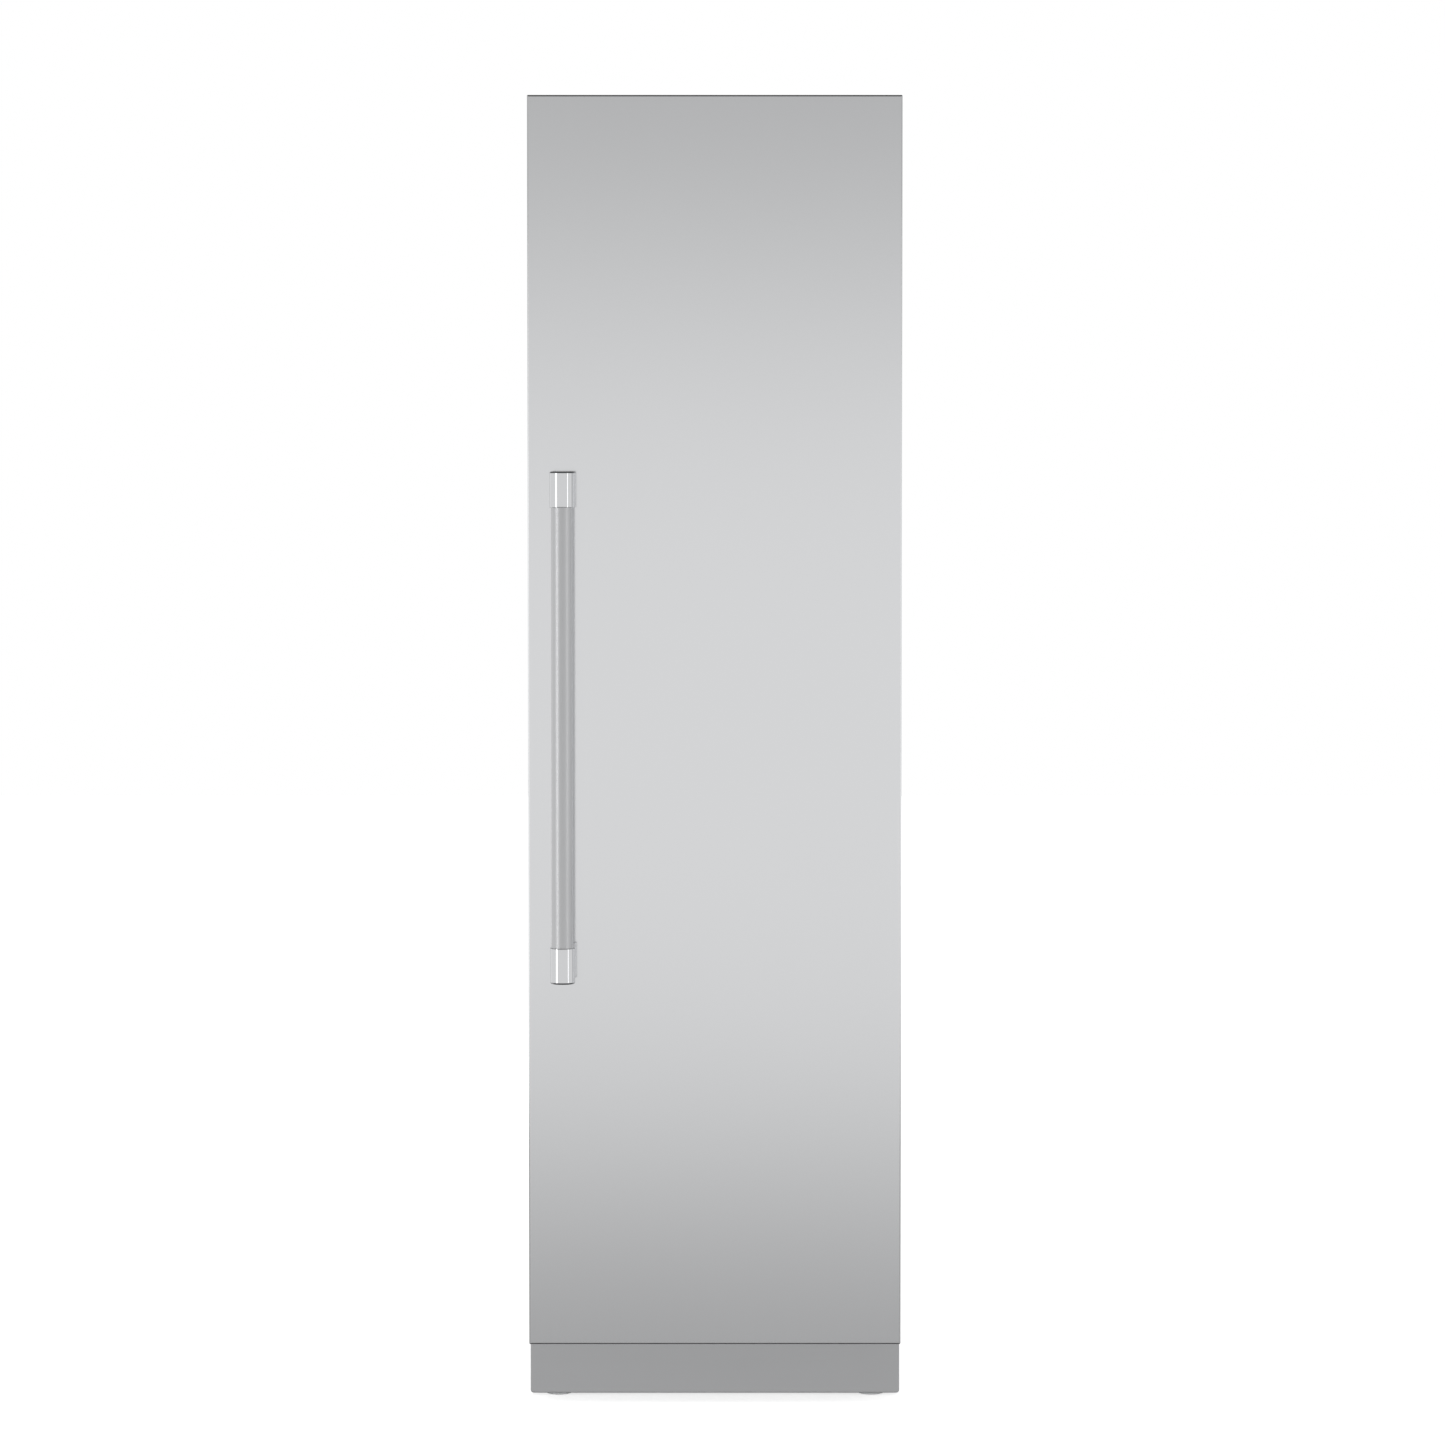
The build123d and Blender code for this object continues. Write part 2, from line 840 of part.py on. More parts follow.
def make_hinge(top):
    """Steel bracket: a flange on the cabinet's face, an arm and a pin into the door's end."""
    if top:
        plate_low = core_top_z + bush_flange_height + hinge_running_gap
        pin_low = plate_low + hinge_plate - hinge_pin_length
        pin_high = plate_low + hinge_plate
    else:
        plate_low = core_z - bush_flange_height - hinge_plate
        pin_low = plate_low
        pin_high = plate_low + hinge_pin_length
    arm = outline(
        (pivot_x + hinge_arm_right, pivot_y),
        (pivot_x + hinge_arm_right, face_y),
        (pivot_x - hinge_arm_left, face_y),
        (pivot_x - hinge_arm_left, face_y - hinge_flange * 2),
        (pivot_x - hinge_nose_radius, pivot_y),
    )
    nose = Pos(pivot_x, pivot_y) * Circle(hinge_nose_radius)
    plate = slab_z(arm + nose, plate_low, plate_low + hinge_plate)
    middle = hinge_flange_middle(top)
    flange = slab_y(
        rectangle(
            pivot_x - hinge_flange_left, pivot_x + hinge_flange_right,
            middle - hinge_flange_height / 2, middle + hinge_flange_height / 2,
        ),
        face_y - hinge_flange, face_y,
    )
    return plate + flange + disc_z(pivot_x, pivot_y, hinge_pin_radius, pin_low, pin_high)


def hinge_screw_height(top):
    """Screws sit on the side of the flange that the arm leaves free."""
    middle = hinge_flange_middle(top)
    shift = hinge_flange_height * screw_side_share
    return middle - shift if top else middle + shift


def make_hinge_screws():
    """Hexagon heads of the screws that hold both hinge flanges."""
    screws = []
    seat = face_y - hinge_flange
    for top in (False, True):
        for x in hinge_screw_places():
            head = Pos(x, hinge_screw_height(top)) * RegularPolygon(screw_head_radius, hexagon_sides)
            screws.append(slab_y(head, seat - screw_head_height, seat))
    return group(screws)


# Cabinet


def make_side_panel(side):
    """Side sheet with a broad front flange and a narrow rear one, made for the right."""
    sheet = block(cabinet_half - skin, cabinet_half, face_y, back_y, cabinet_z, cabinet_top_z)
    front = block(
        cabinet_half - front_flange, cabinet_half, face_y, face_y + skin, cabinet_z, cabinet_top_z
    )
    rear = block(
        cabinet_half - rear_flange, cabinet_half, back_y - skin, back_y, cabinet_z, cabinet_top_z
    )
    panel = sheet + front + rear
    return panel if side > 0 else mirrored(panel)


def make_top_cover():
    """Top sheet between the sides, folded down at the front."""
    half = cabinet_half - skin
    sheet = block(-half, half, face_y + skin, back_y - skin, cabinet_top_z - skin, cabinet_top_z)
    flange_half = cabinet_half - front_flange
    flange = block(
        -flange_half, flange_half, face_y, face_y + skin,
        cavity_top_z + liner_flange, cabinet_top_z,
    )
    return sheet + flange


def back_bead(side, grow):
    """Outline of one upright bead of the back panel, grown by a sheet where asked."""
    x = side * (cabinet_half - rear_flange) / 2
    reach = bead_width / 2 + grow
    return rectangle(
        x - reach, x + reach,
        machine_top_z + bead_width * 2 - grow, cabinet_top_z - bead_width * 2 + grow,
    )


def make_back_panel():
    """Rear sheet between the side panels' flanges, stiffened by two upright beads."""
    half = cabinet_half - rear_flange
    sheet = block(-half, half, back_y - skin, back_y, machine_top_z, cabinet_top_z - skin)
    for side in (-1, 1):
        pressed = slab_y(back_bead(side, skin), back_y - bead_depth - skin, back_y)
        sheet = sheet + pressed - slab_y(back_bead(side, 0), back_y - bead_depth, back_y + overrun)
    return sheet


def make_cabinet_foam():
    """Foam of the side, top, back and floor walls round the liner."""
    half = cabinet_half - skin
    foam = block(-half, half, face_y + skin, back_y - skin, machine_top_z, cabinet_top_z - skin)
    cavity = block(
        -cavity_half - liner_skin, cavity_half + liner_skin,
        face_y - overrun, cavity_back_y + liner_skin,
        cavity_z - liner_skin, cavity_top_z + liner_skin,
    )
    foam = foam - cavity
    for side in (-1, 1):
        foam = foam - slab_y(back_bead(side, skin), back_y - bead_depth - skin, back_y)
    return foam


def make_inner_liner():
    """Moulded lining of the cavity with a flange round its mouth."""
    outer_half = cavity_half + liner_skin
    shell = block(
        -outer_half, outer_half, face_y, cavity_back_y + liner_skin,
        cavity_z - liner_skin, cavity_top_z + liner_skin,
    )
    hollow = block(-cavity_half, cavity_half, face_y - overrun, cavity_back_y, cavity_z, cavity_top_z)
    hollow = fillet(hollow.edges().filter_by(Axis.Y), cavity_corner)
    flange_half = cavity_half + liner_flange
    flange = block(
        -flange_half, flange_half, face_y, face_y + skin,
        cavity_z - liner_flange, cavity_top_z + liner_flange,
    )
    return shell + flange - hollow


# Cold side


def duct_fan_centre():
    """Height of the evaporator fan."""
    coil_top = cavity_z + coil_above_floor + (coil_passes - 1) * coil_pitch
    return coil_top + fan_above_coil + fan_ring_radius


def vent_columns():
    """Heights at which the duct blows into the cavity, one above each shelf."""
    return [shelf_level(share) + slot_height + slot_pitch * 2 for share in shelf_shares]


def make_evaporator_cover():
    """Moulded duct cover over the back wall, with air slots and the fan's intake."""
    half = cavity_half - duct_side_gap
    low = cavity_z + duct_side_gap
    high = cavity_top_z - duct_side_gap
    shell = slab_y(cut_rectangle(-half, half, low, high, duct_corner), duct_y, cavity_back_y)
    shell = chamfer(shell.faces().sort_by(Axis.Y)[0].edges(), duct_cover / 2)
    hollow = slab_y(
        cut_rectangle(
            -half + duct_cover, half - duct_cover, low + duct_cover, high - duct_cover, duct_corner
        ),
        duct_y + duct_cover, cavity_back_y + overrun,
    )
    cover = shell - hollow
    for level in vent_columns():
        for row in range(vent_rows):
            z = level + row * vent_pitch
            cover = cover - slab_y(
                rectangle(-vent_width, vent_width, z, z + vent_height),
                duct_y - overrun, duct_y + duct_cover + overrun,
            )
    intake = slab_y(
        rectangle(
            -vent_width, vent_width,
            cavity_z + intake_low, cavity_z + intake_high,
        ),
        duct_y - overrun, duct_y + duct_cover + overrun,
    )
    return cover - intake


def make_evaporator_coil():
    """Aluminium tube in passes through upright fins, behind the duct cover."""
    y = cavity_back_y - duct_depth / 2 + duct_cover / 2
    base = cavity_z + coil_above_floor
    coil = serpentine(coil_half_width, coil_pitch, coil_passes, coil_tube_radius, y, base)
    high = base + (coil_passes - 1) * coil_pitch + fin_overlap
    near = coil_tube_radius + fin_seat
    far = fin_depth / 2
    fins = int(2 * coil_half_width / fin_pitch)
    strips = []
    for number in range(fins):
        x = (number - (fins - 1) / 2) * fin_pitch
        half = fin_thickness / 2
        reach = cavity_back_y if number in (0, fins - 1) else y + far
        strips.append(block(x - half, x + half, y - far, y - near, base - fin_overlap, high))
        strips.append(block(x - half, x + half, y + near, reach, base - fin_overlap, high))
    return group([coil] + strips)


def make_evaporator_fan_frame():
    """Ring with three struts and the motor, standing on the back wall of the liner."""
    z = duct_fan_centre()
    ring_y = cavity_back_y - fan_ring_depth
    ring = slab_y(Pos(0, z) * RegularPolygon(fan_ring_radius, ring_sides), ring_y, cavity_back_y)
    throat = Pos(0, z) * RegularPolygon(fan_ring_radius - fan_ring_wall, ring_sides)
    ring = ring - slab_y(throat, ring_y - overrun, cavity_back_y + overrun)
    motor = slab_y(
        cut_rectangle(
            -fan_motor_radius, fan_motor_radius, z - fan_motor_radius, z + fan_motor_radius,
            fan_motor_radius / 2,
        ),
        cavity_back_y - fan_motor_depth, cavity_back_y,
    )
    shaft = disc_y(
        0, z, fan_shaft_radius,
        cavity_back_y - fan_motor_depth - fan_shaft_length, cavity_back_y - fan_motor_depth,
    )
    frame = ring + motor + shaft
    strut = block(
        fan_motor_radius - strut_depth, fan_ring_radius - fan_ring_wall / 2,
        cavity_back_y - strut_depth, cavity_back_y, -strut_width / 2, strut_width / 2,
    )
    for number in range(struts):
        frame = frame + Pos(0, 0, z) * Rot(0, (number + 0.5) * 360 / struts, 0) * strut
    return frame


def make_evaporator_fan_blade():
    """Small axial fan that turns on the motor's shaft."""
    tip = fan_ring_radius - fan_ring_wall - fan_tip_gap
    blades = fan_blade_set(
        fan_hub_radius, fan_hub_depth, tip, fan_blade_chord, fan_blades, fan_shaft_radius
    )
    front = cavity_back_y - fan_motor_depth - fan_axial_gap - fan_hub_depth
    return Pos(0, front, duct_fan_centre()) * blades


# Shelves


def ladder_bottom():
    """Lowest point of the ladders."""
    return cover_top_z + slot_pitch / 2


def shelf_level(share):
    """Height of a shelf's lowest hook: a slot of the ladders near this share of the span."""
    steps = round(share * shelf_span / slot_pitch)
    return ladder_bottom() + steps * slot_pitch


def make_shelf_ladders():
    """Two upright channels on the duct cover, with a row of slots for the shelf hooks."""
    high = cavity_top_z - slot_pitch
    count = int((high - ladder_bottom()) / slot_pitch)
    ladders = []
    for side in (-1, 1):
        x = side * (cavity_half - ladder_inset)
        y0 = duct_y - ladder_depth
        channel = block(
            x - ladder_width / 2, x + ladder_width / 2, y0, duct_y, ladder_bottom() - slot_height, high
        )
        channel = fillet(channel.edges().filter_by(Axis.Z).sort_by(Axis.Y)[:2], ladder_wall / 2)
        hollow = block(
            x - ladder_width / 2 + ladder_wall, x + ladder_width / 2 - ladder_wall,
            y0 + ladder_wall, duct_y + overrun,
            ladder_bottom() - slot_height - overrun, high + overrun,
        )
        channel = channel - hollow
        slots = [
            block(
                x - slot_width / 2, x + slot_width / 2,
                y0 - overrun, y0 + ladder_wall + ladder_wall / 2,
                ladder_bottom() + number * slot_pitch,
                ladder_bottom() + number * slot_pitch + slot_height,
            )
            for number in range(count)
        ]
        ladders.append(channel - slots)
    return group(ladders)


def shelf_edges():
    """Front of a shelf's trim, glass front, glass back and rear end of its arms."""
    front = face_y + shelf_front_gap
    glass_front = front + trim_depth - trim_lip
    rear = duct_y - ladder_depth
    glass_back = rear - trim_depth
    return front, glass_front, glass_back, rear


def make_shelf_glass():
    """Tempered glass of the three shelves, each resting on the ledges of its frame."""
    front, glass_front, glass_back, rear = shelf_edges()
    half = cavity_half - shelf_side_gap
    panes = []
    for share in shelf_shares:
        level = shelf_level(share) + slot_pitch + slot_height
        panes.append(block(-half, half, glass_front, glass_back, level, level + glass_thickness))
    return group(panes)


def make_shelf_frame(share):
    """Two cantilever arms with hooks, joined by a front and a rear rail."""
    base = shelf_level(share)
    level = base + slot_pitch + slot_height
    front, glass_front, glass_back, rear = shelf_edges()
    half = cavity_half - shelf_side_gap
    top = level + glass_thickness
    trim = rectangle(front, front + trim_depth, top - trim_height, top)
    trim = fillet(trim.vertices().sort_by(Axis.X)[:2], trim_round)
    groove = rectangle(glass_front, front + trim_depth + overrun, level, top + overrun)
    under = rectangle(
        glass_front, front + trim_depth + overrun, top - trim_height - overrun, level - trim_ledge
    )
    frame = slab_x(trim - groove - under, -half, half)
    back_trim = rectangle(glass_back - trim_lip, glass_back + trim_ledge, level - trim_ledge, top)
    back_groove = rectangle(glass_back - trim_lip - overrun, glass_back, level, top + overrun)
    frame = frame + slab_x(back_trim - back_groove, -half, half)
    arm = outline(
        (front + trim_depth - trim_lip, level),
        (front + trim_depth - trim_lip, level - arm_front_height),
        (rear - hook_height * 2, base),
        (rear, base),
        (rear, level),
    )
    hooks = None
    neck = rear + ladder_wall + seat_gap
    for step in (0, 1):
        z = base + step * slot_pitch
        hook = outline(
            (rear - hook_depth, z),
            (neck, z),
            (neck, z - hook_drop),
            (neck + hook_depth, z - hook_drop),
            (neck + hook_depth, z + hook_height - hook_depth),
            (neck, z + hook_height),
            (rear - hook_depth, z + hook_height),
        )
        hooks = hook if hooks is None else hooks + hook
    side = arm + hooks
    for sign in (-1, 1):
        x = sign * (cavity_half - ladder_inset)
        frame = frame + slab_x(side, x - arm_thickness / 2, x + arm_thickness / 2)
    return frame


# Crispers


def drawer_span():
    """Front and back of the drawers."""
    return face_y + drawer_front_gap, duct_y - drawer_back_gap


def drawer_half():
    """Half width of a drawer's tub, inside the rails."""
    return cavity_half - rail_depth - drawer_side_clearance


def make_drawer_rails():
    """Channels on both walls that carry the drawers' lips, two for each drawer."""
    y0, y1 = drawer_span()
    rails = []
    for z in drawer_z:
        lip_z = z + drawer_height - drawer_lip
        low = lip_z - seat_gap - rail_wall
        high = z + drawer_height + rail_play
        for side in (-1, 1):
            outer = side * cavity_half
            inner = side * (cavity_half - rail_depth)
            xs = sorted((outer, inner))
            channel = block(
                xs[0], xs[1], y0 + drawer_front + seat_gap, y1 + drawer_back_gap, low, high + rail_wall
            )
            web = side * (cavity_half - rail_wall)
            inside = sorted((web, inner - side * overrun))
            channel = channel - block(
                inside[0], inside[1],
                y0 - overrun, y1 + drawer_back_gap - rail_wall,
                low + rail_wall, high,
            )
            rails.append(channel)
    return group(rails)


def make_crisper_drawer(z):
    """Clear drawer with draft, side lips for the rails and a scooped pull in its front."""
    y0, y1 = drawer_span()
    half = drawer_half()
    body_y = y0 + drawer_front
    outside = tapered_z(
        (-half + drawer_draft, half - drawer_draft, body_y, y1 - drawer_draft, drawer_corner),
        (-half, half, body_y, y1, drawer_corner),
        z, z + drawer_height,
    )
    inside = tapered_z(
        (-half + drawer_draft + drawer_wall, half - drawer_draft - drawer_wall,
         body_y + drawer_wall, y1 - drawer_draft - drawer_wall, drawer_wall),
        (-half + drawer_wall, half - drawer_wall,
         body_y + drawer_wall, y1 - drawer_wall, drawer_wall),
        z + drawer_wall, z + drawer_height + drawer_wall,
    )
    lip_half = cavity_half - rail_wall - drawer_side_clearance
    lip = block(
        -lip_half, lip_half, body_y + drawer_corner, y1 - drawer_corner,
        z + drawer_height - drawer_lip, z + drawer_height,
    )
    front = slab_y(
        rectangle(-half, half, z, z + drawer_height), y0, body_y + drawer_wall / 2
    )
    pull = slab_y(
        cut_rectangle(
            -pull_width / 2, pull_width / 2,
            z + drawer_height - pull_from_top - pull_height, z + drawer_height - pull_from_top,
            pull_depth,
        ),
        y0 - pull_depth, y0,
    )
    scoop = slab_y(
        rectangle(
            -pull_width / 2 + drawer_wall, pull_width / 2 - drawer_wall,
            z + drawer_height - pull_from_top - pull_height - overrun,
            z + drawer_height - pull_from_top - drawer_wall,
        ),
        y0 - pull_depth + drawer_wall, y0,
    )
    return outside + lip + front + (pull - scoop) - inside


def cover_slot_z():
    """Height of the humidity slider's middle."""
    return cover_z + cover_height / 2


def make_crisper_cover_frame():
    """Frame over the drawers: it rests on the upper rails and holds the cover glass."""
    y0, y1 = drawer_span()
    half = cavity_half - drawer_side_clearance
    frame = block(-half, half, y0, duct_y, cover_z, cover_top_z)
    frame = fillet(frame.edges().filter_by(Axis.X).sort_by(Axis.Y)[:2], trim_round)
    pocket = block(
        -half + cover_rim, half - cover_rim, y0 + trim_depth, duct_y - cover_rim,
        cover_top_z - glass_thickness, cover_top_z + overrun,
    )
    window = block(
        -half + cover_rim * 2, half - cover_rim * 2, y0 + trim_depth + cover_rim, duct_y - cover_rim * 2,
        cover_z - overrun, cover_top_z,
    )
    reach = (slider_width + slider_travel) / 2 + slider_play
    slot = block(
        -reach, reach, y0 - overrun, y0 + slider_depth,
        cover_slot_z() - slider_stem / 2 - slider_play, cover_slot_z() + slider_stem / 2 + slider_play,
    )
    return frame - pocket - window - slot


def make_crisper_cover_glass():
    """Glass that lies in the crisper cover."""
    y0, y1 = drawer_span()
    half = cavity_half - drawer_side_clearance - cover_rim - seat_gap
    return block(
        -half, half, y0 + trim_depth + seat_gap, duct_y - cover_rim - seat_gap,
        cover_top_z - glass_thickness, cover_top_z,
    )


def make_humidity_slider():
    """Thumb slider that runs in a slot in the front of the crisper cover."""
    y0, y1 = drawer_span()
    z = cover_slot_z()
    x0 = -slider_travel / 2
    grip = slab_y(
        rectangle(
            x0 - slider_width / 2, x0 + slider_width / 2,
            z - slider_height / 2, z + slider_height / 2,
        ),
        y0 - slider_stem, y0 - seat_gap,
    )
    ridges = [
        block(
            x0 + step * slider_stem - ridge_width / 2, x0 + step * slider_stem + ridge_width / 2,
            y0 - slider_stem - ridge_proud, y0 - slider_stem,
            z - ridge_height / 2, z + ridge_height / 2,
        )
        for step in (-1, 0, 1)
    ]
    stem = block(
        x0 - slider_width / 2, x0 + slider_width / 2, y0 - seat_gap, y0 + slider_depth - slider_play,
        z - slider_stem / 2, z + slider_stem / 2,
    )
    slider = grip + stem
    for ridge in ridges:
        slider = slider + ridge
    return slider


# Controls and light


def control_front():
    """Front face of the control panel."""
    return face_y + control_setback


def button_centres():
    """Button middles on the control panel's front."""
    return [share * control_half_width for share in button_places_shares]


def button_hole(x, play):
    """Outline of a button, larger by its play."""
    z = cavity_top_z - control_height / 2
    return rectangle(
        x - button_width / 2 - play, x + button_width / 2 + play,
        z - button_height / 2 - play, z + button_height / 2 + play,
    )


def make_control_panel():
    """Housing at the ceiling with a raked underside and three button holes in its front."""
    y0 = control_front()
    low = cavity_top_z - control_height
    outer = outline(
        (y0, cavity_top_z), (y0, low), (y0 + control_depth - control_lean, low + control_lean),
        (y0 + control_depth, cavity_top_z),
    )
    inner = outline(
        (y0 + control_wall, cavity_top_z + overrun),
        (y0 + control_wall, low + control_wall),
        (y0 + control_depth - control_lean - control_wall, low + control_lean + control_wall),
        (y0 + control_depth - control_wall * 2, cavity_top_z + overrun),
    )
    half = control_half_width
    housing = slab_x(outer, -half, half)
    housing = housing - slab_x(inner, -half + control_wall, half - control_wall)
    for x in button_centres():
        housing = housing - slab_y(button_hole(x, button_play), y0 - overrun, y0 + control_wall + overrun)
    return housing


def make_button(x):
    """Push button: a cap through the front wall and a flange behind it."""
    y0 = control_front()
    cap = slab_y(button_hole(x, 0), y0 - button_proud, y0 + control_wall + seat_gap)
    cap = chamfer(cap.faces().sort_by(Axis.Y)[0].edges(), button_flange / 2)
    flange = slab_y(
        button_hole(x, button_flange), y0 + control_wall + seat_gap,
        y0 + control_wall + seat_gap + button_flange_depth,
    )
    return cap + flange


def make_ceiling_light_cover():
    """Frosted cover of the ceiling light, with soft lower edges."""
    y0 = control_front() + control_depth + lamp_gap
    cover = slab_z(
        cut_rectangle(-lamp_half_width, lamp_half_width, y0, y0 + lamp_length, lamp_corner),
        cavity_top_z - lamp_height, cavity_top_z,
    )
    return chamfer(cover.faces().sort_by(Axis.Z)[0].edges(), lamp_edge)


# Machine compartment


def make_insulation_deck():
    """Sheet under the foam, the roof of the machine compartment."""
    half = cabinet_half - skin
    return block(-half, half, face_y + skin, back_y - skin, machine_top_z - skin, machine_top_z)


def make_machine_front_cover():
    """Sheet behind the door's foot, from the toe to the cavity's mouth."""
    half = cabinet_half - front_flange
    sheet = block(-half, half, face_y, face_y + skin, cabinet_z, cavity_z - liner_flange)
    fold = block(-half, half, face_y + skin, base_y, cabinet_z, cabinet_z + skin)
    return sheet + fold


def make_rear_service_cover():
    """Louvred sheet over the machine compartment's back."""
    half = cabinet_half - rear_flange
    low = cabinet_z
    high = machine_top_z - skin - service_gap
    cover = block(-half, half, back_y - skin, back_y, low, high)
    for column in range(louvre_columns):
        for row in range(louvre_rows):
            x = (column - (louvre_columns - 1) / 2) * louvre_column_pitch
            z = (low + high) / 2 + (row - (louvre_rows - 1) / 2) * louvre_pitch
            cover = cover - block(
                x - louvre_width / 2, x + louvre_width / 2,
                back_y - skin - overrun, back_y + overrun,
                z - louvre_height / 2, z + louvre_height / 2,
            )
    return cover


def leg_centre():
    """Right front leg's axis."""
    return cabinet_half - leg_inset, base_y + leg_behind_kick


def roller_centre():
    """Right rear roller's middle."""
    return cabinet_half - roller_inset, back_y - roller_from_back


def inlet_place():
    """Middle of the power inlet on the base frame's rear edge."""
    return -cabinet_half / 2, (base_bottom + base_sheet + cabinet_z) / 2


def rear_wall():
    """Upright rear wall of the chassis, with a hole for the power inlet."""
    half = cabinet_half
    x, z = inlet_place()
    wall = block(-half, half, back_y - skin, back_y, base_bottom, cabinet_z)
    hole = slab_y(
        rectangle(
            x - inlet_width / 2 - seat_gap, x + inlet_width / 2 + seat_gap,
            z - inlet_height / 2 - seat_gap, z + inlet_height / 2 + seat_gap,
        ),
        back_y - skin - overrun, back_y + overrun,
    )
    return wall - hole


def make_base_frame():
    """Chassis pan with upright sides and rear wall, front rail, leg nuts and roller axles."""
    half = cabinet_half
    y1 = back_y - skin
    floor_top = base_bottom + base_sheet
    frame = block(-half, half, base_y, y1, base_bottom, floor_top)
    leg_x, leg_y = leg_centre()
    roll_x, roll_y = roller_centre()
    for side in (-1, 1):
        inner, outer = sorted((side * (half - base_sheet), side * half))
        frame = frame + block(inner, outer, base_y, y1, base_bottom, cabinet_z)
    well = block(
        roll_x - roller_width / 2 - ear_gap, roll_x + roller_width / 2 + ear_gap,
        roll_y - roller_radius - ear_gap * 2, roll_y + roller_radius + ear_gap * 2,
        base_bottom - overrun, floor_top + overrun,
    )
    frame = frame - well - mirrored(well)
    rail = block(
        -half + base_sheet, half - base_sheet, base_y, base_y + rail_width,
        floor_top, floor_top + rail_height,
    )
    rail = rail - block(
        -half + base_sheet, half - base_sheet,
        base_y + base_sheet, base_y + rail_width - base_sheet,
        floor_top - overrun, floor_top + rail_height - base_sheet,
    )
    frame = frame + rail
    nut = block(
        leg_x - leg_nut_radius, leg_x + leg_nut_radius,
        leg_y - leg_nut_radius, leg_y + leg_nut_radius,
        floor_top, floor_top + rail_height - base_sheet,
    )
    frame = frame + nut + mirrored(nut)
    bore = disc_z(leg_x, leg_y, leg_radius + pin_clearance, base_bottom - overrun, cabinet_z + overrun)
    frame = frame - bore - mirrored(bore)
    ear_profile = outline(
        (roll_y - ear_radius, floor_top), (roll_y - ear_radius, roller_radius),
        (roll_y - ear_radius / 2, roller_radius - ear_radius),
        (roll_y + ear_radius / 2, roller_radius - ear_radius),
        (roll_y + ear_radius, roller_radius), (roll_y + ear_radius, floor_top),
    )
    for side in (-1, 1):
        near = roll_x + side * (roller_width / 2 + ear_gap)
        inner, outer = sorted((near, near + side * ear_thickness))
        ear = slab_x(ear_profile, inner, outer)
        frame = frame + ear + mirrored(ear)
    reach = roller_width / 2 + ear_gap + ear_thickness / 2
    axle = disc_x(roll_y, roller_radius, axle_radius, roll_x - reach, roll_x + reach)
    frame = frame + axle + mirrored(axle) + rear_wall()
    holes = [
        disc_z(sx * fixing_spacing_x / 2, sy * fixing_spacing_y / 2, fixing_hole_radius,
               base_bottom - overrun, floor_top + overrun)
        for sx in (-1, 1) for sy in (-1, 1)
    ]
    return frame - holes


def make_kickplate():
    """Folded stainless plate under the door, with its ends turned back."""
    half = kick_width / 2
    low = kick_floor_gap
    high = toe_height - kick_top_gap
    face = slab_y(rectangle(-half, half, low, high, kick_corner), kick_y, base_y)
    end = block(
        half - kick_skin, half, kick_y + kick_skin / 2, base_y + kick_return,
        low + kick_corner, high - kick_corner,
    )
    fold = cabinet_half - base_sheet - seat_gap
    top = block(-fold, fold, kick_y + kick_skin / 2, base_y + kick_return, high - kick_skin, high)
    return face + end + mirrored(end) + top


def make_compressor():
    """Hermetic shell of two tapered halves on a foot plate, with its terminal box and pipe stubs."""
    x = compressor_x
    y = back_y - compressor_from_back
    low = base_bottom + base_sheet + grommet_height
    plate_top = low + foot_plate_thickness
    high = plate_top + compressor_height
    lower = plate_top + compressor_dome
    shell = slab_z(Pos(x, y) * RegularPolygon(compressor_radius, shell_sides), plate_top, high)
    for cut in (compressor_dome, compressor_dome / 2):
        shell = chamfer(shell.faces().sort_by(Axis.Z)[-1].edges(), cut)
    shell = chamfer(shell.faces().sort_by(Axis.Z)[0].edges(), compressor_dome)
    seam_z = plate_top + compressor_height * seam_share
    seam = slab_z(
        Pos(x, y) * RegularPolygon(compressor_radius + seam_overhang, shell_sides),
        seam_z, seam_z + seam_height,
    )
    plate = slab_z(
        cut_rectangle(
            x - foot_plate_width / 2, x + foot_plate_width / 2,
            y - foot_plate_depth / 2, y + foot_plate_depth / 2, grommet_inset / 2,
        ),
        low, plate_top + skin,
    )
    box = block(
        x - terminal_width / 2, x + terminal_width / 2,
        y - compressor_radius - terminal_depth, y - shell_bottom_radius,
        lower, lower + terminal_height,
    )
    box = chamfer(box.edges().filter_by(Axis.Z).sort_by(Axis.Y)[:2], terminal_corner)
    body = shell + seam + plate + box
    for z in stub_levels():
        stub = Pos(y, z) * RegularPolygon(stub_radius, tube_sides)
        body = body + slab_x(stub, x - compressor_radius - stub_length, x)
    return body


def stub_levels():
    """Heights of the discharge and suction stubs."""
    plate_top = base_bottom + base_sheet + grommet_height + foot_plate_thickness
    return plate_top + compressor_height * discharge_share, plate_top + compressor_height * suction_share


def grommet_centres():
    """Middles of the four rubber mounts."""
    x = compressor_x
    y = back_y - compressor_from_back
    dx = foot_plate_width / 2 - grommet_inset
    dy = foot_plate_depth / 2 - grommet_inset
    return [(x + sx * dx, y + sy * dy) for sx in (-1, 1) for sy in (-1, 1)]


def make_compressor_mounts():
    """Stepped rubber mounts under the foot plate."""
    low = base_bottom + base_sheet
    mounts = []
    for x, y in grommet_centres():
        foot = Pos(x, y) * RegularPolygon(grommet_radius, tube_sides)
        neck = Pos(x, y) * RegularPolygon(grommet_neck, tube_sides)
        mount = slab_z(foot, low, low + grommet_height / 2)
        mounts.append(mount + slab_z(neck, low + grommet_height / 2, low + grommet_height))
    return group(mounts)


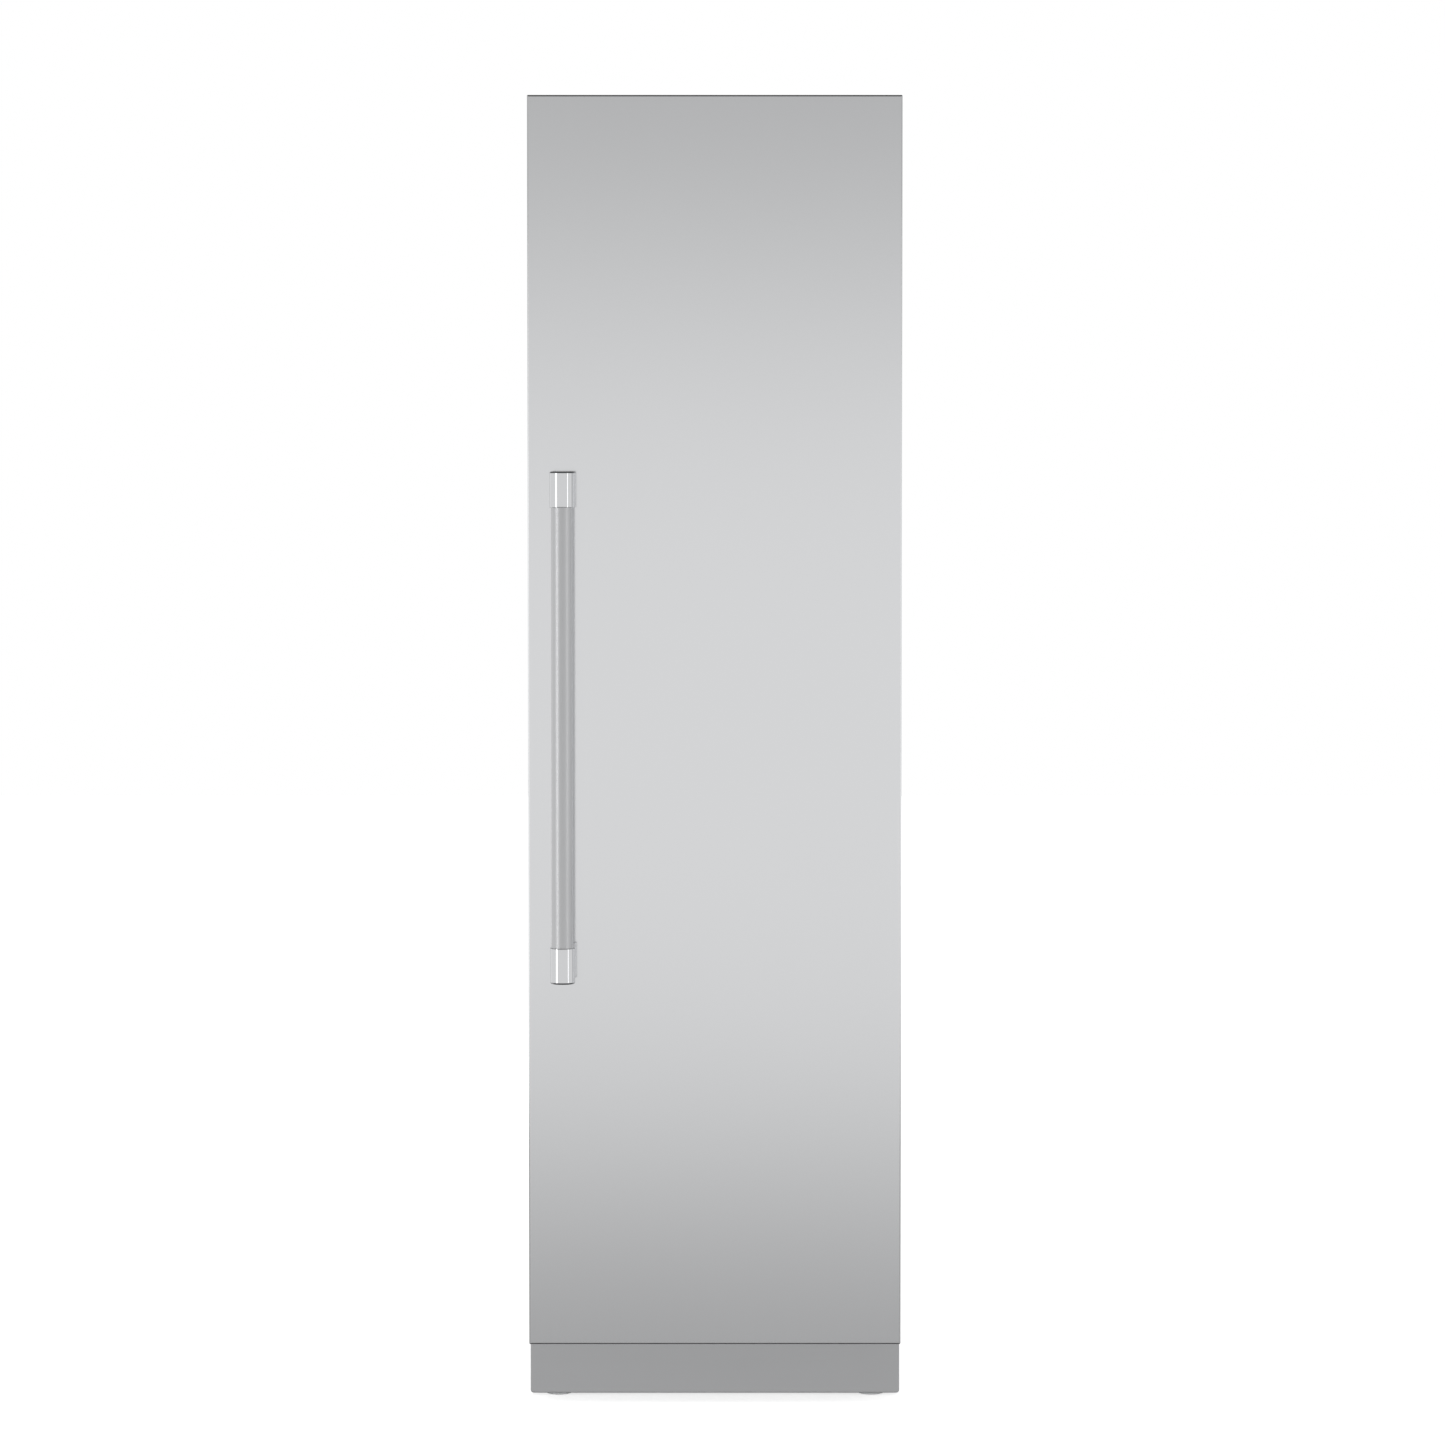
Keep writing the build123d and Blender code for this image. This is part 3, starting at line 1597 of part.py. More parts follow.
def condenser_box():
    """Middle and low corner of the condenser."""
    x = -cabinet_half + cabinet_width * condenser_place_share
    y = base_y + condenser_from_front
    z = base_bottom + base_sheet + condenser_floor_gap + condenser_pitch / 2
    return x, y, z


def make_condenser_coil():
    """Tube bank in upright fins: each column is a run of passes joined by half turns."""
    x, y, z = condenser_box()
    pieces = []
    for column in range(condenser_columns):
        run = serpentine(
            condenser_half_width, condenser_pitch, condenser_rows, condenser_tube_radius,
            y + column * condenser_pitch, z,
        )
        pieces.append(Pos(x, 0, 0) * run)
    fins = int(2 * condenser_half_width / condenser_fin_pitch)
    low = base_bottom + base_sheet
    high = z + (condenser_rows - 1) * condenser_pitch + condenser_pitch / 2
    clear = condenser_tube_radius + fin_seat
    for number in range(fins):
        fin_x = x + (number - (fins - 1) / 2) * condenser_fin_pitch
        outer = number in (0, fins - 1)
        half = condenser_plate / 2 if outer else condenser_fin_thickness / 2
        foot = low if outer else low + condenser_floor_gap
        for strip in range(condenser_columns + 1):
            middle = y + (strip - 0.5) * condenser_pitch
            reach = condenser_pitch / 2 - clear
            pieces.append(block(fin_x - half, fin_x + half, middle - reach, middle + reach, foot, high))
    return group(pieces)


def cooling_fan_place():
    """Middle of the condenser fan and the front of its shroud."""
    x, y, z = condenser_box()
    front = y + (condenser_columns - 0.5) * condenser_pitch + cooling_gap
    return x, front, base_bottom + base_sheet + shroud_side / 2


def make_condenser_fan_housing():
    """Square shroud with a round throat, struts and the motor behind it."""
    x, front, z = cooling_fan_place()
    back = front + cooling_ring_depth
    half = shroud_side / 2
    plate = slab_y(rectangle(x - half, x + half, z - half, z + half), front, front + shroud_wall)
    throat = slab_y(Pos(x, z) * RegularPolygon(cooling_ring_radius + shroud_wall, ring_sides), front, back)
    opening = Pos(x, z) * RegularPolygon(cooling_ring_radius, ring_sides)
    housing = plate + throat - slab_y(opening, front - overrun, back + overrun)
    motor_front = back + strut_depth
    reach = cooling_motor_radius
    motor = slab_y(
        cut_rectangle(x - reach, x + reach, z - reach, z + reach, reach / 2),
        motor_front - strut_depth, motor_front + cooling_motor_depth,
    )
    shaft = disc_y(x, z, fan_shaft_radius, motor_front - strut_depth - cooling_shaft_length, motor_front)
    housing = housing + motor + shaft
    strut = block(
        cooling_motor_radius - strut_depth, cooling_ring_radius + shroud_wall / 2,
        -strut_depth, 0, -strut_width / 2, strut_width / 2,
    )
    for number in range(cooling_struts):
        housing = housing + Pos(x, back, z) * Rot(0, (number + 0.5) * 360 / cooling_struts, 0) * strut
    floor = base_bottom + base_sheet
    return housing + block(x - half, x + half, front, back, floor, floor + shroud_wall)


def make_condenser_fan_blade():
    """Axial fan that turns on the condenser fan's shaft."""
    x, front, z = cooling_fan_place()
    blades = fan_blade_set(
        cooling_hub_radius, cooling_hub_depth, cooling_ring_radius - fan_tip_gap,
        cooling_chord, fan_blades, fan_shaft_radius,
    )
    start = front + cooling_ring_depth - strut_depth - cooling_axial_gap - cooling_hub_depth
    return Pos(x, start, z) * blades


def make_drain_pan():
    """Shallow pan on the chassis floor that takes the defrost water."""
    x1 = cabinet_half - base_sheet - overrun - leg_nut_radius * 2
    y0 = base_y + rail_width + leg_top_room
    low = base_bottom + base_sheet
    x0 = x1 - cabinet_width * drain_pan_width_share
    y1 = y0 + (back_y - base_y) * drain_pan_depth_share
    draft = drain_pan_draft
    wall = drain_pan_wall
    outside = tapered_z(
        (x0 + draft, x1 - draft, y0 + draft, y1 - draft, drain_pan_corner),
        (x0, x1, y0, y1, drain_pan_corner), low, low + drain_pan_height,
    )
    inside = tapered_z(
        (x0 + draft + wall, x1 - draft - wall, y0 + draft + wall, y1 - draft - wall, drain_pan_corner),
        (x0 + wall, x1 - wall, y0 + wall, y1 - wall, drain_pan_corner),
        low + wall, low + drain_pan_height + wall,
    )
    return outside - inside


def make_power_inlet():
    """Panel inlet with a recess and three prongs; its flange lies inside the rear rail."""
    x, z = inlet_place()
    body = slab_y(
        rectangle(x - inlet_width / 2, x + inlet_width / 2, z - inlet_height / 2, z + inlet_height / 2),
        back_y - inlet_depth, back_y,
    )
    flange = slab_y(
        rectangle(
            x - inlet_width / 2 - inlet_rim, x + inlet_width / 2 + inlet_rim,
            z - inlet_height / 2 - inlet_rim, z + inlet_height / 2 + inlet_rim,
        ),
        back_y - skin - inlet_flange, back_y - skin,
    )
    recess = slab_y(
        rectangle(
            x - inlet_width / 2 + inlet_wall, x + inlet_width / 2 - inlet_wall,
            z - inlet_height / 2 + inlet_wall, z + inlet_height / 2 - inlet_wall,
        ),
        back_y - inlet_socket_depth, back_y + overrun,
    )
    inlet = body + flange - recess
    for step in (-1, 0, 1):
        px = x + step * inlet_prong_spacing
        inlet = inlet + block(
            px - inlet_prong_width / 2, px + inlet_prong_width / 2,
            back_y - inlet_socket_depth, back_y - inlet_prong_setback,
            z - inlet_prong_height / 2, z + inlet_prong_height / 2,
        )
    return inlet


def make_refrigerant_lines():
    """Discharge line to the condenser and suction line up to the insulated deck."""
    x = compressor_x
    y = back_y - compressor_from_back
    stub_end = x - compressor_radius - stub_length
    discharge_z, suction_z = stub_levels()
    coil_x, coil_y, coil_z = condenser_box()
    tube_end = coil_x + condenser_half_width
    inner_y = coil_y + (condenser_columns - 1) * condenser_pitch
    tube_z = coil_z + (condenser_rows - 1) * condenser_pitch
    line_x = (tube_end + condenser_pitch / 2 + condenser_tube_radius + stub_end) / 2
    runs = [
        ((stub_end, y, discharge_z), (line_x, y, discharge_z), (line_x, inner_y, discharge_z),
         (line_x, inner_y, tube_z), (tube_end, inner_y, tube_z)),
        ((stub_end, y, suction_z), (line_x, y, suction_z), (line_x, y, machine_top_z - skin)),
    ]
    lines = []
    for points in runs:
        start = Plane(origin=points[0], x_dir=(0, 1, 0), z_dir=(-1, 0, 0))
        section = start * RegularPolygon(line_radius, tube_sides)
        lines.append(sweep(section, Polyline(*points), transition=Transition.RIGHT))
    return group(lines)


# Feet


def make_leg(side):
    """Levelling leg: foot disc, hexagon and screw, with its foot on the floor."""
    x, y = leg_centre()
    x = side * x
    foot = slab_z(Pos(x, y) * RegularPolygon(leg_foot_radius, leg_foot_sides), 0, leg_foot_height)
    hexagon = slab_z(
        Pos(x, y) * RegularPolygon(leg_hex_width / 2, hexagon_sides),
        leg_foot_height, leg_foot_height + leg_hex_height,
    )
    top = base_bottom + rail_height - seat_gap
    return foot + hexagon + disc_z(x, y, leg_radius, leg_foot_height, top)


def make_roller(side):
    """Rear roller with a bore for its axle."""
    x, y = roller_centre()
    x = side * x
    wheel = disc_x(y, roller_radius, roller_radius, x - roller_width / 2, x + roller_width / 2)
    return wheel - disc_x(
        y, roller_radius, axle_radius + pin_clearance,
        x - roller_width / 2 - overrun, x + roller_width / 2 + overrun,
    )


def list_pieces():
    """Every node's name with the function that makes it and what that function is given."""
    pieces = [
        ("door_front_panel", make_door_front_panel),
        ("door_outer_pan", make_door_outer_pan),
        ("door_foam", make_door_foam),
        ("door_inner_liner", make_door_inner_liner),
        ("door_gasket", make_door_gasket),
        ("handle_tube", make_handle_tube),
        ("handle_lower_bracket", make_handle_bracket, handle_z, True),
        ("handle_upper_bracket", make_handle_bracket, handle_top_z - cap_length, False),
        ("dairy_compartment", make_dairy_compartment),
        ("dairy_lid", make_dairy_lid),
        ("hinge_bushes", make_hinge_bushes),
        ("upper_hinge", make_hinge, True),
        ("lower_hinge", make_hinge, False),
        ("hinge_screws", make_hinge_screws),
        ("right_side_panel", make_side_panel, 1),
        ("left_side_panel", make_side_panel, -1),
        ("top_cover", make_top_cover),
        ("back_panel", make_back_panel),
        ("cabinet_foam", make_cabinet_foam),
        ("inner_liner", make_inner_liner),
        ("evaporator_cover", make_evaporator_cover),
        ("evaporator_coil", make_evaporator_coil),
        ("evaporator_fan_frame", make_evaporator_fan_frame),
        ("evaporator_fan_blade", make_evaporator_fan_blade),
        ("shelf_ladders", make_shelf_ladders),
        ("shelf_glass", make_shelf_glass),
        ("drawer_rails", make_drawer_rails),
        ("crisper_drawer_lower", make_crisper_drawer, drawer_z[0]),
        ("crisper_drawer_upper", make_crisper_drawer, drawer_z[1]),
        ("crisper_cover_frame", make_crisper_cover_frame),
        ("crisper_cover_glass", make_crisper_cover_glass),
        ("humidity_slider", make_humidity_slider),
        ("control_panel", make_control_panel),
        ("ceiling_light_cover", make_ceiling_light_cover),
        ("insulation_deck", make_insulation_deck),
        ("machine_front_cover", make_machine_front_cover),
        ("rear_service_cover", make_rear_service_cover),
        ("base_frame", make_base_frame),
        ("kickplate", make_kickplate),
        ("compressor", make_compressor),
        ("compressor_mounts", make_compressor_mounts),
        ("condenser_coil", make_condenser_coil),
        ("condenser_fan_housing", make_condenser_fan_housing),
        ("condenser_fan_blade", make_condenser_fan_blade),
        ("refrigerant_lines", make_refrigerant_lines),
        ("drain_pan", make_drain_pan),
        ("power_inlet", make_power_inlet),
        ("front_leg_left", make_leg, -1),
        ("front_leg_right", make_leg, 1),
        ("rear_roller_left", make_roller, -1),
        ("rear_roller_right", make_roller, 1),
    ]
    for name, x in zip(("power_button", "warmer_button", "colder_button"), button_centres()):
        pieces.append((name, make_button, x))
    for name, share in zip(("lower", "middle", "upper"), bin_shares):
        pieces.append(("door_bin_" + name, make_door_bin, share))
    for number, share in enumerate(shelf_shares, 1):
        pieces.append(("shelf_frame_%d" % number, make_shelf_frame, share))
    return pieces


os.makedirs("parts", exist_ok=True)
for node, maker, *given in list_pieces():
    export_step(maker(*given), "parts/" + node + ".step")
    print(node)
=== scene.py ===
# %% [markdown]
# # A column refrigerator with one tall steel door
#
# The solid model comes in as a fixed frame: every piece is in place, in metres, with +Z up and the door
# looking along -Y. This notebook gives each solid a finish, builds finer skins over the pieces that
# people look at and touch, and sets up a plain white studio. The frame's reach is noted first, because
# nothing may stand outside it.

# %% Load the frame
import json
import math

import bpy
import numpy as np
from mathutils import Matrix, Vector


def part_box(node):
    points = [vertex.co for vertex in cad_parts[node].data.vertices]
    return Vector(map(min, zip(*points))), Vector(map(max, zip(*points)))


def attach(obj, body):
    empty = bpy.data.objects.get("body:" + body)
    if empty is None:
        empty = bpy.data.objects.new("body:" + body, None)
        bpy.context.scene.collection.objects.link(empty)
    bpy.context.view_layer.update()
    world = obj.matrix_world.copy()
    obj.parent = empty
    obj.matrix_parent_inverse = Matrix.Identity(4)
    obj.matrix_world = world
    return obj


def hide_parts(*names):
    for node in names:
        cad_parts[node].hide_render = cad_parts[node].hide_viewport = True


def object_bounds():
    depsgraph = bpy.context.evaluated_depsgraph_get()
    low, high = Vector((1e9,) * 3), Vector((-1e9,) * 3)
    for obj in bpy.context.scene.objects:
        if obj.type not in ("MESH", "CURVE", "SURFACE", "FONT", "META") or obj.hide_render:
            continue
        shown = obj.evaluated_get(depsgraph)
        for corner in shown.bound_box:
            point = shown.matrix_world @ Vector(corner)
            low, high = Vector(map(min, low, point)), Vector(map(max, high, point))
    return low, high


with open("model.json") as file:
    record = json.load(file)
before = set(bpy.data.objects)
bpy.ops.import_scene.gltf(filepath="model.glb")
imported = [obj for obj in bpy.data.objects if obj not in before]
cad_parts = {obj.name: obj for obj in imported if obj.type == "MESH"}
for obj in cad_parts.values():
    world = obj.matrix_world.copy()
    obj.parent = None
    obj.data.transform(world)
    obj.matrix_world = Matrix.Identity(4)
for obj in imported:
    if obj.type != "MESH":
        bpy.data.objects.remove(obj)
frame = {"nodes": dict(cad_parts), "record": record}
reach_at_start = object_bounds()
MM = 0.001
overlap = 0.05 * MM  # two bodies of one piece reach this far into each other


def mm(*sizes):
    """Sizes in millimetres, as metres."""
    return [size * MM for size in sizes]


def new_object(name, data):
    """An object of the scene with that data."""
    made = bpy.data.objects.new(name, data)
    bpy.context.scene.collection.objects.link(made)
    return made


print("solids in the frame:", len(frame["nodes"]))
print("reach, lowest and highest corner:", *[[round(v, 4) for v in corner] for corner in reach_at_start])

# %% [markdown]
# ## The camera
#
# The photograph is taken from far away with a long lens, so that the door's sides stay almost upright.
# They lean towards each other by two pixels, which gives a camera a little above the middle, tipped down
# by about three degrees. A camera looks along its own -Z, so a quarter turn about X makes it level.

# %% Camera
lens_length = 136.5
camera_distance = 8.831
camera_sideways = 12.4 * MM
camera_height = 1565.4 * MM
tipped_down = math.radians(2.948)

door_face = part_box("door_front_panel")[0].y
camera = new_object("camera", bpy.data.cameras.new("camera"))
camera.data.lens = lens_length
camera.location = (camera_sideways, door_face - camera_distance, camera_height)
camera.rotation_euler = (math.pi / 2 - tipped_down, 0, 0)
bpy.context.scene.camera = camera
bpy.context.scene.view_settings.view_transform = "Standard"
print("camera stands at", [round(v, 3) for v in camera.location])

# %% [markdown]
# ## Small helpers for shader nodes
#
# A finish is a little network of nodes. One helper fills a node's inputs, with plain values or with what
# another node puts out, and one adds a node. A finish always ends in a Principled shader, which stays in
# the material itself.

# %% Node helpers
def feed(node, inputs):
    """Fills inputs by name or number: another node's output is carried over, any other value is set."""
    for name, value in inputs.items():
        if isinstance(value, bpy.types.NodeSocket):
            node.id_data.links.new(value, node.inputs[name])
        else:
            node.inputs[name].default_value = value


def add_node(tree, kind, inputs, **settings):
    """A new node of that kind: its own settings, such as operation, come first, then its inputs."""
    node = tree.nodes.new("ShaderNode" + kind)
    for name, value in settings.items():
        setattr(node, name, value)
    feed(node, inputs)
    return node


print("node helpers are ready")

# %% [markdown]
# ## Groups: a pattern that many finishes share
#
# A finish needs a colour, a roughness and a height for a bump. A shader node group puts out these three,
# and every material that uses it fills in its own values. Noise runs from 0 to 1, so it is spread out to
# both sides of zero first.

# %% Group helpers
def new_group(name, inputs):
    """A group with three outputs; a number makes a Float input, three numbers a Vector, four a Color."""
    group = bpy.data.node_groups.new(name, "ShaderNodeTree")
    for socket, default in inputs.items():
        kind = "Float" if isinstance(default, float) else {3: "Vector", 4: "Color"}[len(default)]
        made = group.interface.new_socket(socket, in_out="INPUT", socket_type="NodeSocket" + kind)
        made.default_value = default
    for socket, kind in (("Color", "Color"), ("Roughness", "Float"), ("Height", "Float")):
        group.interface.new_socket(socket, in_out="OUTPUT", socket_type="NodeSocket" + kind)
    return group, group.nodes.new("NodeGroupInput").outputs


def noise(group, place, scale, detail, reach, roughness=0.5):
    """A noise texture's value from 0 to 1, and the same spread out from -reach to reach."""
    texture = add_node(group, "TexNoise", {"Vector": place, "Scale": scale, "Detail": detail, "Roughness": roughness})
    spread = {"Value": texture.outputs["Fac"], "To Min": -reach, "To Max": reach}
    return texture.outputs["Fac"], add_node(group, "MapRange", spread).outputs["Result"]


def close_group(group, given, shade, amount, wear, height):
    """Colour = Tone * (1 + shade * amount), roughness = Roughness + wear * Spread, height as it is."""
    bright = add_node(group, "Math", {0: shade, 1: amount, 2: 1.0}, operation="MULTIPLY_ADD")
    rough = add_node(group, "Math", {0: wear, 1: given["Spread"], 2: given["Roughness"]}, operation="MULTIPLY_ADD")
    colour = add_node(group, "VectorMath", {0: given["Tone"], "Scale": bright.outputs[0]}, operation="SCALE")
    out = group.nodes.new("NodeGroupOutput")
    feed(out, {"Color": colour.outputs[0], "Roughness": rough.outputs[0], "Height": height})
    print("group", group.name, "has", len(group.nodes), "nodes")
    return group


# %% [markdown]
# ## Brushing, a group for every rolled or brushed metal
#
# Brushed steel is full of hair-fine scratches that all run one way. They could be painted as lines, but
# noise that is squeezed across the scratches and stretched along them looks the same at any distance and
# never repeats. A second, very soft noise stands for the cloudy marks that a cloth leaves.

# %% Brushed grain group
group, given = new_group("brushed_grain", {
    "Vector": (0.0, 0.0, 0.0), "Stretch": (900.0, 900.0, 6.0), "Tone": (0.6, 0.6, 0.6, 1.0),
    "Contrast": 0.03, "Roughness": 0.3, "Spread": 0.06, "Cloud Size": 3.0,
})
stretched = add_node(group, "VectorMath", {0: given["Vector"], 1: given["Stretch"]}, operation="MULTIPLY")
height, scratches = noise(group, stretched.outputs[0], 1.0, 3.0, 1.0, 0.6)
clouds = noise(group, given["Vector"], given["Cloud Size"], 2.0, 0.5)[1]
wear = add_node(group, "Math", {0: scratches, 1: clouds}, operation="ADD").outputs[0]
grain_group = close_group(group, given, scratches, given["Contrast"], wear, height)

# %% [markdown]
# ## A moulded or painted skin, as a second group
#
# Moulded plastic and sprayed paint are never quite flat: they carry a shallow orange peel. One group
# serves both. The tone drifts by a percent or two over a hand's width, which keeps large white walls
# from looking printed.

# %% Moulded skin group
group, given = new_group("moulded_skin", {
    "Vector": (0.0, 0.0, 0.0), "Tone": (0.8, 0.8, 0.8, 1.0), "Drift": 0.03, "Peel Size": 600.0,
    "Roughness": 0.4, "Spread": 0.08,
})
height, peel = noise(group, given["Vector"], given["Peel Size"], 1.5, 1.0)
drift = noise(group, given["Vector"], 7.0, 2.0, 1.0)[1]
skin_group = close_group(group, given, drift, given["Drift"], peel, height)

# %% [markdown]
# ## From a group to a material
#
# Each finish is the same short chain: the object's own coordinates go into a group, and its colour,
# roughness and height go into one Principled shader. Every piece sits at the origin, so the grain runs on
# from one piece to the next and never stretches.

# %% Material makers
materials = {}


def start_material(slot, group, values, depth=0.0):
    """Object coordinates go through the group into a Principled shader; depth is the bump's, in metres."""
    material = materials[slot] = bpy.data.materials.new(slot)
    material.use_nodes = True
    tree = material.node_tree
    place = add_node(tree, "TexCoord", {}).outputs["Object"]
    pattern = add_node(tree, "Group", {"Vector": place, **values}, node_tree=group).outputs
    shader = tree.nodes["Principled BSDF"]
    feed(shader, {"Base Color": pattern["Color"], "Roughness": pattern["Roughness"]})
    if depth:
        bump = add_node(tree, "Bump", {"Distance": depth, "Strength": 1.0, "Height": pattern["Height"]})
        feed(shader, {"Normal": bump.outputs["Normal"]})
    return shader


def metal(slot, tone, roughness, spread, stretch, contrast, depth=0.002 * MM, one_way=0.0):
    """A bare metal; one_way spreads the mirror image along U of the piece's own map "grain"."""
    values = {"Tone": (*tone, 1), "Roughness": roughness, "Spread": spread, "Stretch": stretch, "Contrast": contrast}
    shader = start_material(slot, grain_group, values, depth)
    feed(shader, {"Metallic": 1.0})
    if one_way:
        across = add_node(shader.id_data, "Tangent", {}, direction_type="UV_MAP", uv_map="grain")
        feed(shader, {"Tangent": across.outputs["Tangent"], "Anisotropic": one_way})


def plastic(slot, tone, roughness, peel, drift, spread=0.06, depth=0.01 * MM, coat=0.0):
    """A moulded plastic, rubber or paint: not metallic, with a coat where it is glossy."""
    values = {"Tone": (*tone, 1), "Drift": drift, "Peel Size": peel, "Roughness": roughness, "Spread": spread}
    shader = start_material(slot, skin_group, values, depth)
    feed(shader, {"Coat Weight": coat, "Coat Roughness": 0.15})
    return shader


print("makers for metal and plastic are ready")

# %% [markdown]
# ## Steel, copper and aluminium
#
# The door is satin stainless steel with its grain running down. It mirrors the bright studio in front of
# it softly, which makes the slow change of tone from top to bottom. The handle's bar is brushed round
# and its caps are polished. Hidden sheets are galvanised, and pipes are copper.

# %% Metals
down_the_door = (900, 900, 5)
across_the_sheet = (5, 900, 900)
round_the_bar = (30, 30, 1200)

metal("brushed_stainless", (0.665, 0.67, 0.68), 0.10, 0.015, down_the_door, 0.008, 0.0)
metal("satin_bar", (0.69, 0.695, 0.705), 0.40, 0.03, round_the_bar, 0.015, 0.0)
metal("polished_stainless", (0.61, 0.615, 0.625), 0.06, 0.02, round_the_bar, 0.005, 0.0)
metal("stainless_sheet", (0.645, 0.65, 0.66), 0.32, 0.03, across_the_sheet, 0.012, 0.0, one_way=0.8)
metal("galvanised_steel", (0.56, 0.57, 0.58), 0.42, 0.12, (45, 45, 45), 0.12)
metal("bare_aluminium", (0.72, 0.73, 0.74), 0.38, 0.08, across_the_sheet, 0.05)
metal("copper", (0.70, 0.38, 0.24), 0.32, 0.1, (60, 60, 60), 0.12)
metal("zinc", (0.62, 0.63, 0.64), 0.28, 0.08, (140, 140, 140), 0.06)
print("metals:", list(materials))

# %% [markdown]
# ## Plastics, paint, rubber and foam
#
# The inside is white polystyrene with a soft gloss, the cabinet is grey painted steel, the gasket is
# soft grey vinyl, and the compressor wears black paint. Foam is cut and never polished, so its peel is
# coarse and deep.

# %% Plastics, paints, rubber and foam
plastic("liner_white", (0.83, 0.835, 0.84), 0.28, 260, 0.012, coat=0.15)
plastic("white_trim", (0.80, 0.805, 0.81), 0.35, 900, 0.012)
plastic("shelf_steel", (0.74, 0.745, 0.75), 0.3, 900, 0.015, coat=0.2)
plastic("cabinet_steel", (0.36, 0.365, 0.375), 0.42, 700, 0.02)
plastic("hinge_steel", (0.17, 0.172, 0.18), 0.4, 800, 0.03)
plastic("black_paint", (0.028, 0.028, 0.03), 0.3, 500, 0.05, coat=0.3)
plastic("dark_plastic", (0.055, 0.055, 0.058), 0.5, 1100, 0.05)
plastic("black_rubber", (0.035, 0.035, 0.036), 0.75, 900, 0.06)
plastic("gasket_grey", (0.40, 0.405, 0.41), 0.6, 700, 0.03)
plastic("button_grey", (0.26, 0.265, 0.275), 0.45, 1500, 0.03)
plastic("nylon", (0.72, 0.72, 0.70), 0.45, 900, 0.03)
plastic("foam", (0.82, 0.74, 0.52), 0.85, 220, 0.08, 0.1, 0.4 * MM)
print("finishes so far:", len(materials))

# %% [markdown]
# ## Clear plastic, glass and the light
#
# A door bin is clear polystyrene and a shelf is toughened glass. Both let light through, so they keep a
# plain Transmission Weight. Glass looks green only at its edge, so the tint here is very light. The lens
# over the lamps is frosted and lights the shelves.

# %% Clear materials
def clear(slot, tone, roughness, ior, solid_share):
    """A see-through material: solid_share of it bends light, and the rest lets it straight through."""
    shader = plastic(slot, tone, roughness, 300, 0.005, 0.01, 0.002 * MM)
    feed(shader, {"Transmission Weight": 1.0, "IOR": ior, "Alpha": solid_share})


clear("clear_bin", (0.95, 0.975, 0.985), 0.06, 1.45, 0.4)
clear("tempered_glass", (0.86, 0.95, 0.93), 0.02, 1.5, 0.5)
lens = plastic("light_lens", (0.93, 0.93, 0.92), 0.5, 900, 0.01)
feed(lens, {"Emission Color": (1.0, 0.98, 0.95, 1.0), "Emission Strength": 3.0})
print("clear: clear_bin, tempered_glass; lit: light_lens")

# %% Give every solid its finish
slot_of = {row["node"]: row["material_slot"] for row in frame["record"]["subparts"]}
for node, solid in frame["nodes"].items():
    solid.data.materials.clear()
    solid.data.materials.append(materials[slot_of[node]])
print("solids with a finish:", len(slot_of))

# %% [markdown]
# ## Building a surface from numbers
#
# Every new piece is a grid of points. A row of the grid is one closed loop, such as a rounded rectangle
# or a circle, and the rows follow each other along a profile. numpy works out all the points at once,
# quads join them, and one flat face closes each end. The volume inside shows whether the faces look
# outwards: where it comes out negative, they are all turned round.

# %% Mesh helpers
def six_volumes(vertices, faces):
    """Sum of dot(a, cross(b, c)) over the triangles that fan out from each face's first corner."""
    return float(np.sum(vertices[faces[:, :1]] * np.cross(vertices[faces[:, 1:-1]], vertices[faces[:, 2:]])))


def solid_from_rows(rows, wrapped=False):
    """(vertices, faces) of a closed body whose skin is the grid `rows` of shape (rows, points, 3).

    Quads join row i to i + 1 and point j to j + 1. The last row joins the first if wrapped, else both close.
    """
    vertices = rows.reshape(-1, 3)
    grid = np.arange(len(vertices)).reshape(rows.shape[:2])
    beside = np.roll(grid, -1, 1)
    quads = np.stack([grid, beside, np.roll(beside, -1, 0), np.roll(grid, -1, 0)], -1)
    skin = [quads.reshape(-1, 4)] if wrapped else [quads[:-1].reshape(-1, 4), grid[:1, ::-1], grid[-1:]]
    volume = sum(six_volumes(vertices - vertices[0], faces) for faces in skin)
    return vertices, [face if volume > 0 else face[::-1] for faces in skin for face in faces.tolist()]


def add_piece(name, solids, body, slot, replaces="", finish="", sharp=30):
    """One object from (vertices, faces) pairs, riding on a body; edges past `sharp` degrees stay crisp."""
    starts = np.cumsum([0] + [len(vertices) for vertices, _ in solids[:-1]])
    vertices = np.concatenate([vertices for vertices, _ in solids])
    faces = [[int(k + start) for k in face] for start, (_, found) in zip(starts, solids) for face in found]
    mesh = bpy.data.meshes.new(name)
    mesh.from_pydata(vertices.tolist(), [], faces)
    mesh.shade_smooth()
    mesh.set_sharp_from_angle(angle=math.radians(sharp))
    mesh.materials.append(materials[finish or slot])
    piece = new_object(name, mesh)
    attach(piece, body)
    if replaces:
        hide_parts(replaces)
    print(f"{name}: {len(vertices)} points, {len(faces)} faces")
    return piece


